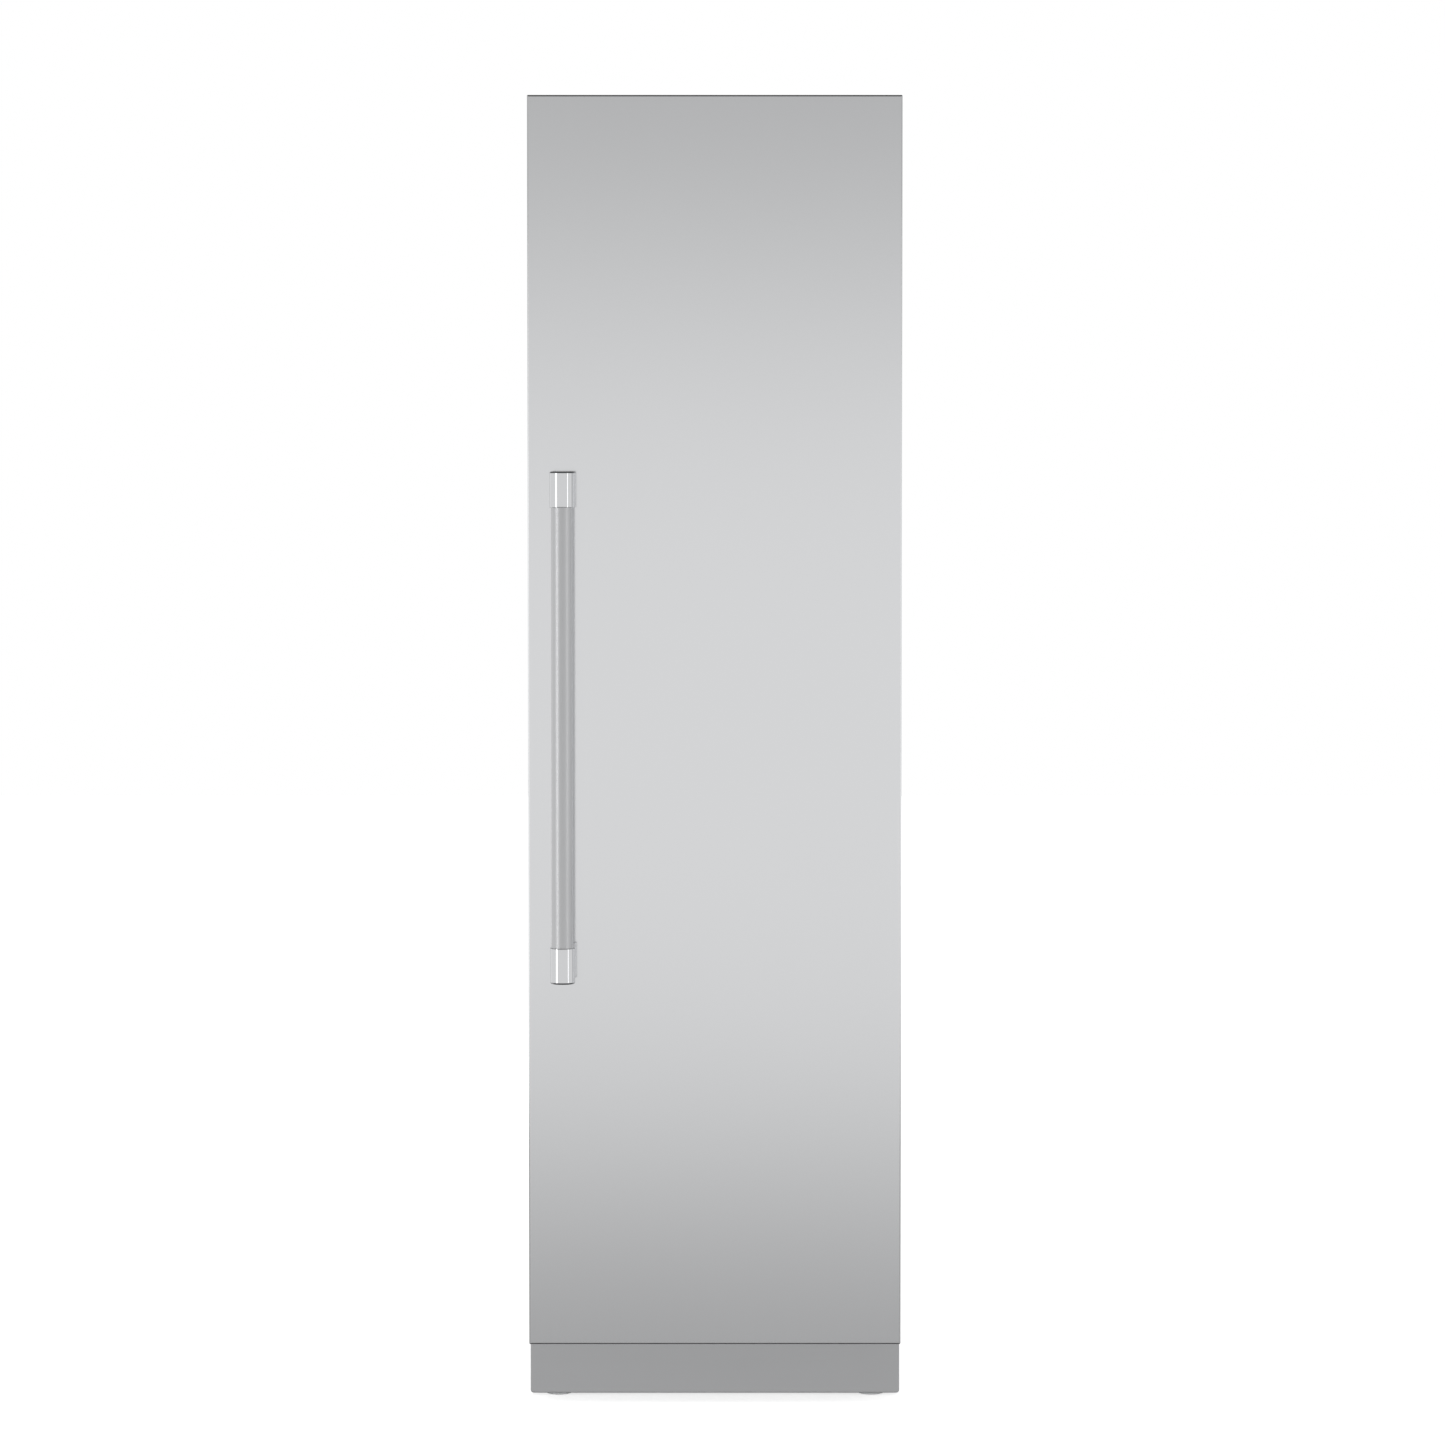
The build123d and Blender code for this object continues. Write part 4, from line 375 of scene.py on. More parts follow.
# %% Loops, profiles and where they stand
def loop_rows(half_u, half_v, radius, per_corner=8, per_side=0):
    """Rounded rectangles, one row each: corner centre plus radius times (cos a, sin a), a from 0 to 360.

    The straight run to the next corner gets per_side evenly spaced points of its own.
    """
    half_u, half_v, radius = (np.reshape(size, (-1, 1, 1)) for size in (half_u, half_v, radius))
    angle = (np.linspace(0, np.pi / 2, per_corner) + np.arange(4)[:, None] * np.pi / 2)[None]
    run = np.linspace(0, 1, per_side + 2)[1:-1]
    loops = []
    for signs, size, turn in (((1, -1, -1, 1), half_u, np.cos), ((1, 1, -1, -1), half_v, np.sin)):
        corner = np.reshape(signs, (1, 4, 1)) * (size - radius) + radius * turn(angle)
        last, following = corner[:, :, -1:], np.roll(corner[:, :, :1], -1, axis=1)
        loops.append(np.concatenate([corner, last + (following - last) * run], -1))
    rows = max(len(loop) for loop in loops)
    return [np.broadcast_to(loop, (rows, *loop.shape[1:])).reshape(rows, -1) for loop in loops]


def body_of(u, v, w, along, centre=(0, 0, 0), wrapped=False):
    """A closed solid from rows (u, v) at heights w along the named axis, moved to centre."""
    w = np.broadcast_to(np.reshape(w, (-1, 1)), u.shape)
    rows = np.stack({"x": (w, u, v), "y": (u, w, v), "z": (u, v, w)}[along], -1)
    return solid_from_rows(rows + centre, wrapped)


def rounded_edge(radius, steps=6, flat=0.0):
    """(inset, depth) round a quarter circle: from inset = radius at depth 0 to inset 0 at depth = radius.

    With flat above zero one more row lies that much further in, so that the face inside it shades flat.
    """
    t = np.linspace(0, np.pi / 2, steps)
    inset, depth = radius * (1 - np.sin(t)), radius * (1 - np.cos(t))
    return (np.append(radius + flat, inset), np.append(0.0, depth)) if flat else (inset, depth)


def eased_block(low, high, corner, edge, along="y", steps=4):
    """A plate from low to high with its outline's corners and the edges of both its faces rounded."""
    low, high = np.array(low, float), np.array(high, float)
    half, axis = (high - low) / 2, "xyz".index(along)
    half_w, (half_u, half_v) = half[axis], np.delete(half, axis)
    inset, depth = rounded_edge(edge, steps, min(MM, 0.2 * min(half_u, half_v)))
    inset, w = np.append(inset, inset[::-1]), np.append(depth - half_w, half_w - depth[::-1])
    u, v = loop_rows(half_u - inset, half_v - inset, np.maximum(corner - inset, 0.02 * MM))
    return body_of(u, v, w, along, (low + high) / 2)


def turned(radii, places, along="z", centre=(0, 0, 0), points=64, wrapped=False):
    """A lathe shape: at each place along the axis a circle of that radius; wrapped leaves a bore."""
    angle = np.linspace(0, 2 * np.pi, points, endpoint=False)
    return body_of(np.outer(radii, np.cos(angle)), np.outer(radii, np.sin(angle)), places, along, centre, wrapped)


def carried(section, stations, centre=(0, 0, 0)):
    """A bar along X: one closed section of (y, z) points, repeated at each station."""
    u, v = (np.tile(column, (len(stations), 1)) for column in np.transpose(section))
    return body_of(u, v, stations, "x", centre)


def copies(solid, offsets):
    """The same (vertices, faces) once for each offset."""
    return [(solid[0] + offset, solid[1]) for offset in offsets]


def corners_of(node):
    """Lowest and highest corner of a solid of the frame, as arrays."""
    return [np.array(corner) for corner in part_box(node)]


print("shape helpers are ready")

# %% [markdown]
# ## The door front and the kickplate
#
# The front is one sheet of steel, folded back along all four sides. The bend of two and a half
# millimetres shows as a dark hairline along the top, where it looks at the ceiling. A bevelled box would
# do, but rows of one outline, each drawn in by the bend's inset, give bend and corners exactly. The
# kickplate is a thinner sheet, brushed from side to side, so its mirror image spreads upwards. A map
# called "grain" tells its finish which way that is.

# %% Door front
bend_radius, corner_radius, least_radius = mm(2.5, 1.6, 0.1)
low, high = corners_of("door_front_panel")
half = (high - low) / 2
inset, depth = rounded_edge(bend_radius, 8, MM)
inset, depth = np.append(inset, 0.0), np.append(depth, high[1] - low[1])
u, v = loop_rows(half[0] - inset, half[2] - inset, np.maximum(corner_radius - inset, least_radius))
front = body_of(u, v, low[1] + depth, "y", (low + high) / 2 * (1, 0, 1))
add_piece("door_skin", [front], "door", "brushed_stainless", "door_front_panel")

# %% Kickplate
def mirrored_pair(middle, half, low, high, corner, edge, along):
    """Two blocks, half wide to each side of x = -middle and x = middle, between two (y, z) corners."""
    return [eased_block((x - half, *low), (x + half, *high), corner, edge, along) for x in (-middle, middle)]


def lay_grain(piece):
    """A map "grain" on the piece: U is the height, across the scratches, and V the place along them."""
    mesh = piece.data
    points, corner = np.empty(len(mesh.vertices) * 3), np.empty(len(mesh.loops), int)
    mesh.vertices.foreach_get("co", points)
    mesh.loops.foreach_get("vertex_index", corner)
    mesh.uv_layers.new(name="grain").data.foreach_set("uv", points.reshape(-1, 3)[corner][:, [2, 0]].ravel())


low, high = corners_of("kickplate")
sheet, sheet_corner, sheet_bend, flange_edge = mm(1.5, 5, 1.2, 0.5)
top_half = 296 * MM
kick_solids = [
    eased_block(low, (high[0], low[1] + sheet + MM, high[2]), sheet_corner, sheet_bend),
    eased_block((-top_half, low[1] + sheet, high[2] - sheet), (top_half, high[1], high[2]), MM, flange_edge, "z"),
]
kick_solids += mirrored_pair(high[0] - sheet / 2, sheet / 2, (low[1] + sheet, low[2] + sheet_corner),
                             (high[1], high[2] - sheet_corner), MM, flange_edge, "x")
lay_grain(add_piece("kick_sheet", kick_solids, "cabinet", "stainless_sheet", "kickplate"))

# %% [markdown]
# ## The handle
#
# A round bar of satin steel is held at both ends by a polished cap. A cap is turned on a lathe: a short
# cylinder with a small chamfer at its outer end and a fine gap where the bar enters it. A flat post with
# a foot joins it to the door.

# %% Handle bar
bar_low, bar_high = corners_of("handle_tube")
bar_radius = (bar_high[0] - bar_low[0]) / 2
bar_centre = (bar_low + bar_high) / 2 * (1, 1, 0)
bar = turned([bar_radius, bar_radius], [bar_low[2], bar_high[2]], "z", bar_centre, 96)
add_piece("handle_bar", [bar], "door", "brushed_stainless", "handle_tube", "satin_bar")

# %% Handle caps
cap_length, cap_chamfer, edge_round, bar_play = mm(57.6, 1.8, 0.5, 0.3)
lower_end_rise, foot_thick = mm(6.4, 4)
post_size, foot_size = mm(25, 46), mm(34, 57)


def upright_block(x, z, size, y_low, y_high, corner, edge):
    """A block around x and z, as wide and high as size says, between two depths."""
    half_x, half_z = size[0] / 2, size[1] / 2
    return eased_block((x - half_x, y_low, z - half_z), (x + half_x, y_high, z + half_z), corner, edge)


def handle_cap(node, way):
    """A turned cap whose outer end looks up (way 1) or down (way -1), with its post and foot."""
    low, high = corners_of(node)
    cap_radius = bar_centre[0] - low[0]
    x, y = bar_centre[0], low[1] + cap_radius
    outer = high[2] if way > 0 else low[2] + lower_end_rise
    inset, depth = rounded_edge(edge_round, 5)
    wall_ends = cap_chamfer + 2 * edge_round
    radii = cap_radius - np.r_[cap_chamfer, inset, 0, 0, inset[::-1], cap_radius - bar_radius - bar_play]
    places = np.r_[0, cap_chamfer + depth, wall_ends, cap_length - wall_ends, cap_length - depth[::-1], cap_length]
    middle, post_back = (low[2] + high[2]) / 2, high[1] - foot_thick
    return [turned(radii, outer - way * places, "z", (x, y, 0), 96),
            upright_block(x, middle, post_size, y, post_back, *mm(3, 0.4)),
            upright_block(x, middle, foot_size, post_back - overlap, high[1], *mm(4, 0.8))]


for end, way in (("upper", 1), ("lower", -1)):
    node = f"handle_{end}_bracket"
    add_piece("handle_cap_" + end, handle_cap(node, way), "door", "polished_stainless", node)

# %% [markdown]
# ## The magnetic gasket
#
# A gasket is an extruded vinyl strip, cut to four lengths and welded at the corners. It has a broad foot
# that the door holds, a soft waist that lets it stretch, and a flat head with the magnet in it. Carrying
# that one section round a rounded rectangle makes the real thing.

# %% Gasket
low, high = corners_of("door_gasket")
half_strip = np.array([(0, 0), (0, 2.6), (1.2, 4.0), (3.2, 4.6), (4.8, 5.8), (3.6, 7.2), (3.0, 9.0), (3.1, 11.0),
                       (3.9, 11.7)])
inset, height = np.concatenate([half_strip, half_strip[::-1] * (-1, 1) + (18, 0)]).T * MM
half, gasket_corner = (high - low) / 2, 14 * MM
u, v = loop_rows(half[0] - inset, half[2] - inset, np.maximum(gasket_corner - inset / 2, MM))
gasket = body_of(u, v, low[1] + height, "y", (low + high) / 2 * (0, 0, 1), wrapped=True)
add_piece("gasket_strip", [gasket], "door", "gasket_grey", "door_gasket", sharp=40)

# %% [markdown]
# ## The door's inner liner
#
# The liner is one white sheet, drawn hot over a mould. Its rims rise with a little draft and turn over
# with a soft radius. Each rim is a section like an upside down U, carried round a rounded rectangle. The
# flat sheet lies behind both, and small ledges carry the bins.

# %% Door liner
liner_low, liner_high = corners_of("door_inner_liner")
liner_face = liner_low[1] + 1.5 * MM
rim_half, rim_width, rim_draft, rim_root = mm(232, 28, 4, -0.5)
rim_sizes = np.array([(760.2, 2041, 48, 4, 12), (347, 788.2, 14, 3, 3)]) * MM


def rims(drawn_in=0.0):
    """Both rims: up a leaning wall, round a quarter circle, then the same mirrored for the far wall.

    Their sizes are lowest and highest z, depth, edge and corner; drawn_in shrinks them, for their filling.
    """
    solids = []
    for low, high, depth, edge, corner in rim_sizes:
        bend, rise = rounded_edge(edge)
        near = np.r_[0, rim_draft + bend[::-1]]
        rise = np.r_[rim_root, depth - drawn_in - rise[::-1]]
        inset = np.r_[near + drawn_in, rim_width + rim_draft - drawn_in - near[::-1]]
        u, v = loop_rows(rim_half - inset, (high - low) / 2 - inset, corner)
        height = liner_face + np.r_[rise, rise[::-1]]
        solids.append(body_of(u, v, height, "y", (0, 0, (low + high) / 2), wrapped=True))
    return solids


ledge_middle, ledge_half, ledge_length, ledge_height = mm(199.5, 7.5, 36, 8)
ledge_end = liner_high[1] - 4 * MM
liner_solids = [eased_block(liner_low, (liner_high[0], liner_face, liner_high[2]), *mm(3, 0.4))] + rims()
for carried_node in ("door_bin_lower", "door_bin_middle", "door_bin_upper", "dairy_compartment"):
    under = corners_of(carried_node)[0][2]
    liner_solids += mirrored_pair(ledge_middle, ledge_half, (ledge_end - ledge_length, under - ledge_height),
                                  (ledge_end, under), *mm(3, 1.2), "x")
add_piece("door_liner", liner_solids, "door", "liner_white", "door_inner_liner")

# %% Foam in the door
low, high = corners_of("door_foam")
foam_play, hinge_room = mm(2.5, 45)
foam = eased_block(low + (0, 0, hinge_room), (high[0], liner_low[1], high[2] - hinge_room), 4 * MM, MM)
add_piece("door_foam_fill", [foam] + rims(foam_play), "door", "foam", "door_foam")

# %% [markdown]
# ## Bins and drawers
#
# Bins and drawers are moulded in clear plastic. A mould wants even walls, round corners and a rounded
# rim, and a drawer also leans outwards a little so that it lets go. All of them are one kind of surface:
# a rounded rectangle that runs along the underside, up the outer wall, over the rim and down inside
# again. The rim of a door bin dips on the side of the door.

# %% Trays
dip_margin, dip_run = mm(12, 40)
side_start, side_run = 0.75, 0.2


def tray(low, high, corner, wall, foot, draft=0.0, dip=0.0):
    """Rows of rounded rectangles along underside, outer wall, rim and inner wall.

    draft draws the foot in, and dip lowers the rim where y is lowest, by a smooth step along x.
    """
    low, high = np.array(low, float), np.array(high, float)
    half, tall = (high - low) / 2, high[2] - low[2]
    bend, rise = rounded_edge(foot, 7)
    over = np.linspace(0, np.pi, 9)
    inset = np.r_[bend, wall / 2 * (1 - np.cos(over)), wall + bend[::-1]]
    level = np.r_[rise, tall - wall / 2 + wall / 2 * np.sin(over), wall + rise[::-1]]
    inset = inset + draft * (1 - level / tall)
    u, v = loop_rows(half[0] - inset, half[1] - inset, np.maximum(corner - inset / 2, 1.5 * MM), 7, 15)
    middle = np.clip((half[0] - dip_margin - np.abs(u)) / dip_run, 0, 1)
    side = np.clip((-v / half[1] - side_start) / side_run, 0, 1)
    step = (middle * middle * (3 - 2 * middle)) * (side * side * (3 - 2 * side))
    w = level[:, None] * (1 - dip / tall * step)
    rows = np.stack([u, v, w], -1) + (0, (low[1] + high[1]) / 2, low[2])
    return solid_from_rows(rows)


rail_inset, rail_thick, rail_height, rail_drop = mm(10, 3.2, 12, 1)
for name in ("lower", "middle", "upper"):
    low, high = corners_of("door_bin_" + name)
    body = tray(low, high - (0, rail_thick + 0.1 * MM, 0), *mm(12, 2.5, 5), dip=30 * MM)
    rail = eased_block((low[0] + rail_inset, high[1] - rail_thick, high[2] - rail_drop - rail_height),
                       high - (rail_inset, 0, rail_drop), *mm(3, 1.4))
    add_piece("bin_" + name, [body], "door", "clear_bin", "door_bin_" + name)
    add_piece("bin_rail_" + name, [rail], "door", "clear_bin", finish="polished_stainless")

# %% Crisper drawers
drawer_half, front_thick, pull_half, pull_depth, pull_drop = mm(233, 5.8, 75, 9, 16)
lip_middle, lip_half, lip_thick, lip_start, lip_end = mm(238.2, 4.8, 5, 14, 8)
hook = np.array([(0, 0), (-5, 0), (-8, -1.2), (-9, -4), (-9, -29), (-8.2, -31), (-6.8, -31), (-6, -29),
                 (-6, -6), (-5.2, -3.8), (-3, -3), (0, -3)]) * MM
for name in ("lower", "upper"):
    low, high = corners_of("crisper_drawer_" + name)
    face, pull_top = low[1] + pull_depth, high[2] - pull_drop
    body = tray((-drawer_half, face + front_thick + 0.2 * MM, low[2]), (drawer_half, high[1], high[2]),
                *mm(10, 3, 8), draft=6 * MM)
    plate = eased_block((-drawer_half, face, low[2]), (drawer_half, face + front_thick, high[2]), *mm(8, 1.4))
    pull = carried(hook, (-pull_half, 0, pull_half), (0, face - overlap, pull_top))
    lips = mirrored_pair(lip_middle, lip_half, (face + lip_start, high[2] - lip_thick), (high[1] - lip_end, high[2]),
                         3 * MM, MM, "z")
    add_piece("drawer_" + name, [body, plate, pull] + lips, name + "_drawer", "clear_bin", "crisper_drawer_" + name)

# %% [markdown]
# ## The dairy lid and the shelf glass
#
# The lid is a curved band of clear plastic on a barrel with two pins. Its section is drawn once and
# carried across. The edges of the shelf glass are ground round before it is hardened, because a sharp
# edge would start a crack.

# %% Dairy lid
low, high = corners_of("dairy_lid")
pin_radius, barrel_radius, barrel_ease, lid_thick, lid_bulge, lid_play, pin_y = mm(3, 5, 0.8, 2.5, 7, 4, -120.6)
lid_half = high[0] - lid_play
pin_line = (0, pin_y, high[2] - barrel_radius)
climb = np.linspace(0, 1, 25)
bow = 4 * lid_bulge * climb * (1 - climb)
inner_edge = np.stack([low[1] + bow, low[2] + climb * (pin_line[2] - low[2])], -1)
lid_band = carried(np.concatenate([inner_edge, inner_edge[::-1] + (lid_thick, 0)]), (-lid_half, 0, lid_half))
barrel = turned([barrel_radius - barrel_ease, barrel_radius, barrel_radius, barrel_radius - barrel_ease],
                [-lid_half, barrel_ease - lid_half, lid_half - barrel_ease, lid_half], "x", pin_line, 32)
pins = turned([pin_radius, pin_radius], [low[0], high[0]], "x", pin_line, 24)
add_piece("dairy_flap", [lid_band, barrel, pins], "dairy_lid", "clear_bin", "dairy_lid")

# %% Shelf glass
low, high = corners_of("shelf_glass")
glass_thick, ground_edge = mm(4, 1.2)
tops = [corners_of(f"shelf_frame_{number}")[1][2] for number in (1, 2, 3)]
panes = [eased_block((*low[:2], top - glass_thick), (*high[:2], top), 6 * MM, ground_edge, "z", 5) for top in tops]
add_piece("shelf_panes", panes, "cabinet", "tempered_glass", "shelf_glass")
crisper_pane = eased_block(*corners_of("crisper_cover_glass"), 5 * MM, ground_edge, "z", 5)
add_piece("crisper_pane", [crisper_pane], "cabinet", "tempered_glass", "crisper_cover_glass")

# %% [markdown]
# ## Controls at the ceiling
#
# Three buttons and a small display sit under the ceiling. The buttons have rounded caps with a printed
# sign: a ring with a stroke, a cross and a bar. The display is a dark window in which two numbers glow;
# each number is made of seven bars, as on the real part, and a table says which are lit.

# %% Display
glow = plastic("display_light", (0.75, 0.85, 0.9), 0.5, 900, 0.0, 0.0, 0.0)
feed(glow, {"Emission Color": (0.75, 0.9, 1.0, 1.0), "Emission Strength": 1.2})
low, high = corners_of("control_panel")
sign_proud, sign_edge = mm(0.25, 0.05)
window_left, window_width, window_height = mm(-38, 52, 15)
middle, front = (low[2] + high[2]) / 2, low[1] - 0.3 * MM
window = upright_block(window_left + window_width / 2, middle, (window_width, window_height), front,
                       front + 0.5 * MM, *mm(2, 0.15))
add_piece("display_window", [window], "cabinet", "dark_plastic", finish="black_paint")
digit_height, digit_pitch = mm(8.5, 8)
first_digit = window_left + 20 * MM
lit_bars = {3: (1, 0, 1, 1, 0, 1, 1), 7: (1, 0, 1, 0, 0, 1, 0)}


def digit(value, left):
    """Seven bars on a grid half as wide as it is high: top, two upper, middle, two lower, bottom."""
    bar, unit = digit_height / 9, digit_height / 2
    ends = ((0, 2, 1, 2), (0, 1, 0, 2), (1, 1, 1, 2), (0, 1, 1, 1), (0, 0, 0, 1), (1, 0, 1, 1), (0, 0, 1, 0))
    bottom = middle - digit_height / 2
    return [eased_block((left + x0 * unit - bar / 2, front - sign_proud, bottom + z0 * unit - bar / 2),
                        (left + x1 * unit + bar / 2, front, bottom + z1 * unit + bar / 2), bar / 3, sign_edge, steps=2)
            for lit, (x0, z0, x1, z1) in zip(lit_bars[value], ends) if lit]


numbers = digit(3, first_digit) + digit(7, first_digit + digit_pitch)
add_piece("display_numbers", numbers, "cabinet", "light_lens", finish="display_light")

# %% Buttons
cap_play, flange_thick, sign_half, stroke_half = mm(1.2, 1.5, 2.2, 0.4)
ring_section = np.array([(2.1, -0.1), (2.1, 0.25), (2.7, 0.25), (2.7, -0.1)]) * MM
ring_turn = np.radians(np.linspace(125, 415, 25))[:, None]


def stroke(x, z, half_x, low_z, high_z, front):
    """One straight printed stroke of a sign."""
    return eased_block((x - half_x, front - sign_proud, z + low_z), (x + half_x, front + 0.1 * MM, z + high_z),
                       0.3 * MM, sign_edge, steps=2)


for name, kind in (("power", "ring"), ("warmer", "cross"), ("colder", "bar")):
    low, high = corners_of(name + "_button")
    cap_back = high[1] - flange_thick
    cap = eased_block(low + (cap_play, 0, cap_play), (high[0] - cap_play, cap_back, high[2] - cap_play),
                      *mm(2.5, 0.7))
    flange = eased_block((low[0], cap_back, low[2]), high, *mm(2, 0.2), steps=2)
    add_piece(name + "_button_cap", [cap, flange], name + "_key", "button_grey", name + "_button")
    x, front, z = (low[0] + high[0]) / 2, low[1], (low[2] + high[2]) / 2
    if kind == "ring":
        out, rise = ring_section.T
        rows = np.stack([x + out * np.cos(ring_turn), front - rise + 0 * ring_turn, z + out * np.sin(ring_turn)], -1)
        signs = [solid_from_rows(rows), stroke(x, z, *mm(0.3, 0.9, 3.1), front)]
    else:
        signs = [stroke(x, z, sign_half, -stroke_half, stroke_half, front)]
    if kind == "cross":
        signs.append(stroke(x, z, stroke_half, -sign_half, sign_half, front))
    add_piece(name + "_button_sign", signs, name + "_key", "white_trim")

# %% [markdown]
# ## The ceiling light
#
# The cover over the lamps is a shallow tray of frosted plastic. Fine ribs hide the single lamps behind
# it. They are one surface: its height follows a cosine along Y, and dies out towards the rim.

# %% Ceiling light
low, high = corners_of("ceiling_light_cover")
lens_rim, rib_pitch, rib_height, rib_fade = mm(7, 4, 0.8, 12)
cover = eased_block(low + (0, 0, rib_height), high, *mm(12, 3), "z", 6)
add_piece("light_cover", [cover], "cabinet", "light_lens", "ceiling_light_cover")
x, y = np.meshgrid(np.linspace(low[0] + lens_rim, high[0] - lens_rim, 9),
                   np.linspace(low[1] + lens_rim, high[1] - lens_rim, 217), indexing="ij")
fade = np.clip(np.minimum(x - x.min(), x.max() - x) / rib_fade, 0, 1)
depth = rib_height * fade * (0.5 - 0.5 * np.cos(2 * np.pi * (y - y.min()) / rib_pitch))
under = np.stack([x, y, low[2] + rib_height - depth], -1)
over = np.stack([x, y, low[2] + 2 * rib_height + 0 * x], -1)
add_piece("light_ribs", [solid_from_rows(np.concatenate([under, over[:, ::-1]], 1))], "cabinet", "light_lens")

# %% [markdown]
# ## Screws, feet and rollers
#
# The hinges are held by screws with hexagon heads and a washer face. A levelling leg is a threaded rod
# with a hexagon for a spanner and a broad foot. Its thread is one surface: the radius is a zigzag of the
# height plus the turn, which winds it into a helix. The rear rollers are turned from nylon.

# %% Hinge screws
low, high = corners_of("hinge_screws")
head_radius, washer_radius, washer_thick, column_inset = mm(3.9, 4.4, 0.6, 4.5)
height = high[1] - low[1]
washer_start = height - washer_thick
head = turned([*mm(2.6, 3.7), head_radius, head_radius], [0, *mm(0.1, 0.5), washer_start], "y", points=6)
washer = turned([head_radius, washer_radius, washer_radius], [washer_start, washer_start + 0.2 * MM, height], "y",
                points=24)
places = [(x, low[1], z) for x in np.linspace(low[0] + column_inset, high[0] - column_inset, 3)
          for z in (low[2] + head_radius, high[2] - head_radius)]
add_piece("hinge_screw_heads", copies(head, places) + copies(washer, places), "cabinet", "zinc", "hinge_screws")

# %% Levelling legs
thread_radius, thread_depth, thread_pitch = mm(6, 0.9, 1.75)
nut_radius, nut_low, nut_high, nut_ease, nut_draw = mm(11, 9, 17, 0.8, 1.4)
foot_rim, foot_top, foot_neck = mm(1, 8.2, 12)
nut_radii = nut_radius - np.array([nut_draw, 0, 0, nut_draw])
nut_places = (nut_low, nut_low + nut_ease, nut_high - nut_ease, nut_high)
turn = np.linspace(0, 1, 24, endpoint=False)[None]
bend, rise = rounded_edge(2 * MM)
for side in ("left", "right"):
    low, high = corners_of("front_leg_" + side)
    middle = (low + high) / 2 * (1, 1, 0)
    levels = np.arange(nut_high, high[2], thread_pitch / 6)[:, None]
    radius = thread_radius - thread_depth * np.abs(2 * ((levels / thread_pitch - turn) % 1) - 1)
    rod = body_of(radius * np.cos(2 * np.pi * turn), radius * np.sin(2 * np.pi * turn), levels, "z", middle)
    foot_radius = (high[0] - low[0]) / 2
    foot = turned(np.r_[foot_radius - foot_rim, foot_radius, foot_radius - bend[::-1], foot_neck],
                  np.r_[0, foot_rim, foot_top - rise[::-1], nut_low], "z", middle)
    nut = turned(nut_radii, nut_places, "z", middle, 6)
    add_piece("leg_" + side, [foot, nut, rod], side + "_leg", "zinc", "front_leg_" + side)

# %% Rear rollers
for side in ("left", "right"):
    low, high = corners_of("rear_roller_" + side)
    half_width, _, tread = (high - low) / 2
    radii = np.r_[mm(4.05, 9, 10, 18, 19), tread - np.array(mm(2, 0.6, 0))]
    depths = np.array(mm(0, 0, 2.5, 2.5, 0, 0, 0.6, 2))
    wheel = turned(np.append(radii, radii[::-1]), np.append(depths - half_width, half_width - depths[::-1]), "x",
                   (low + high) / 2, 64, wrapped=True)
    add_piece("roller_" + side, [wheel], side + "_roller", "nylon", "rear_roller_" + side)

# %% [markdown]
# ## Tubes, fins and fans
#
# Each coil is one long tube that runs to and fro: straight runs, and a quarter circle at every corner.
# Two corners that are half a pitch wide make one return bend. The fins are thin folded strips of
# aluminium, so one fin is made with its folds and then repeated.

# %% Coils and fins
def unit(rows):
    """Every row divided by its length."""
    return rows / np.linalg.norm(rows, axis=1)[:, None]


def coil(x_low, x_high, y, z, pitch, passes, radius, points=12):
    """A tube that runs to and fro between two x, one pitch higher each time, with its bends outside them.

    A corner of its path becomes a quarter circle: corner + r * (out * (1 - cos t) - in * (1 - sin t)).
    """
    k, bend = np.arange(2 * passes), pitch / 2
    at_high = (k // 2 + k) % 2 == 1
    x = np.where(at_high, x_high + bend, x_low - bend)
    x[[0, -1]] += bend * np.where(at_high[[0, -1]], -1, 1)
    corners = np.stack([x, np.full(2 * passes, y), z + k // 2 * pitch], -1)
    runs = unit(np.diff(corners, axis=0))
    t = np.linspace(0, np.pi / 2, 7)[None, :, None]
    arcs = runs[1:, None] * (1 - np.cos(t)) - runs[:-1, None] * (1 - np.sin(t))
    arcs = corners[1:-1, None] + (bend - 0.01 * MM) * arcs
    path = np.concatenate([corners[:1], arcs.reshape(-1, 3), corners[-1:]])
    tangent = unit(np.gradient(path, axis=0))
    slanted = (0.53, 0.62, 0.58)  # no part of the path runs this way
    normal = unit(np.cross(tangent, slanted))
    angle = np.linspace(0, 2 * np.pi, points, endpoint=False)[None, :, None]
    around = normal[:, None] * np.cos(angle) + np.cross(tangent, normal)[:, None] * np.sin(angle)
    return solid_from_rows(path[:, None] + radius * around)


def fins(x_places, y_low, y_high, z_low, z_high, folds=7, fold_depth=0.5 * MM, thick=0.16 * MM):
    """One folded strip, its section a zigzag along Y with a wall, repeated at every x."""
    y = np.linspace(y_low, y_high, folds)
    x = fold_depth * (np.arange(folds) % 2 - 0.5)
    u, v = np.append(x, x[::-1] + thick), np.append(y, y[::-1])
    strip = body_of(np.stack([u, u]), np.stack([v, v]), [z_low, z_high], "z")
    return copies(strip, [(place, 0, 0) for place in x_places])


# %% Evaporator
coil_passes = 5
coil_half, coil_y, coil_z, coil_pitch, coil_radius = mm(150, 268.85, 395, 32, 4)
fin_half_depth, fin_over = mm(11, 7)
cold_tube = coil(-coil_half, coil_half, coil_y, coil_z, coil_pitch, coil_passes, coil_radius)
cold_fins = fins(np.arange(*mm(-138, 138.1, 5)), coil_y - fin_half_depth, coil_y + fin_half_depth,
                 coil_z - fin_over, coil_z + (coil_passes - 1) * coil_pitch + fin_over)
add_piece("cold_coil", [cold_tube] + cold_fins, "cabinet", "bare_aluminium", "evaporator_coil")

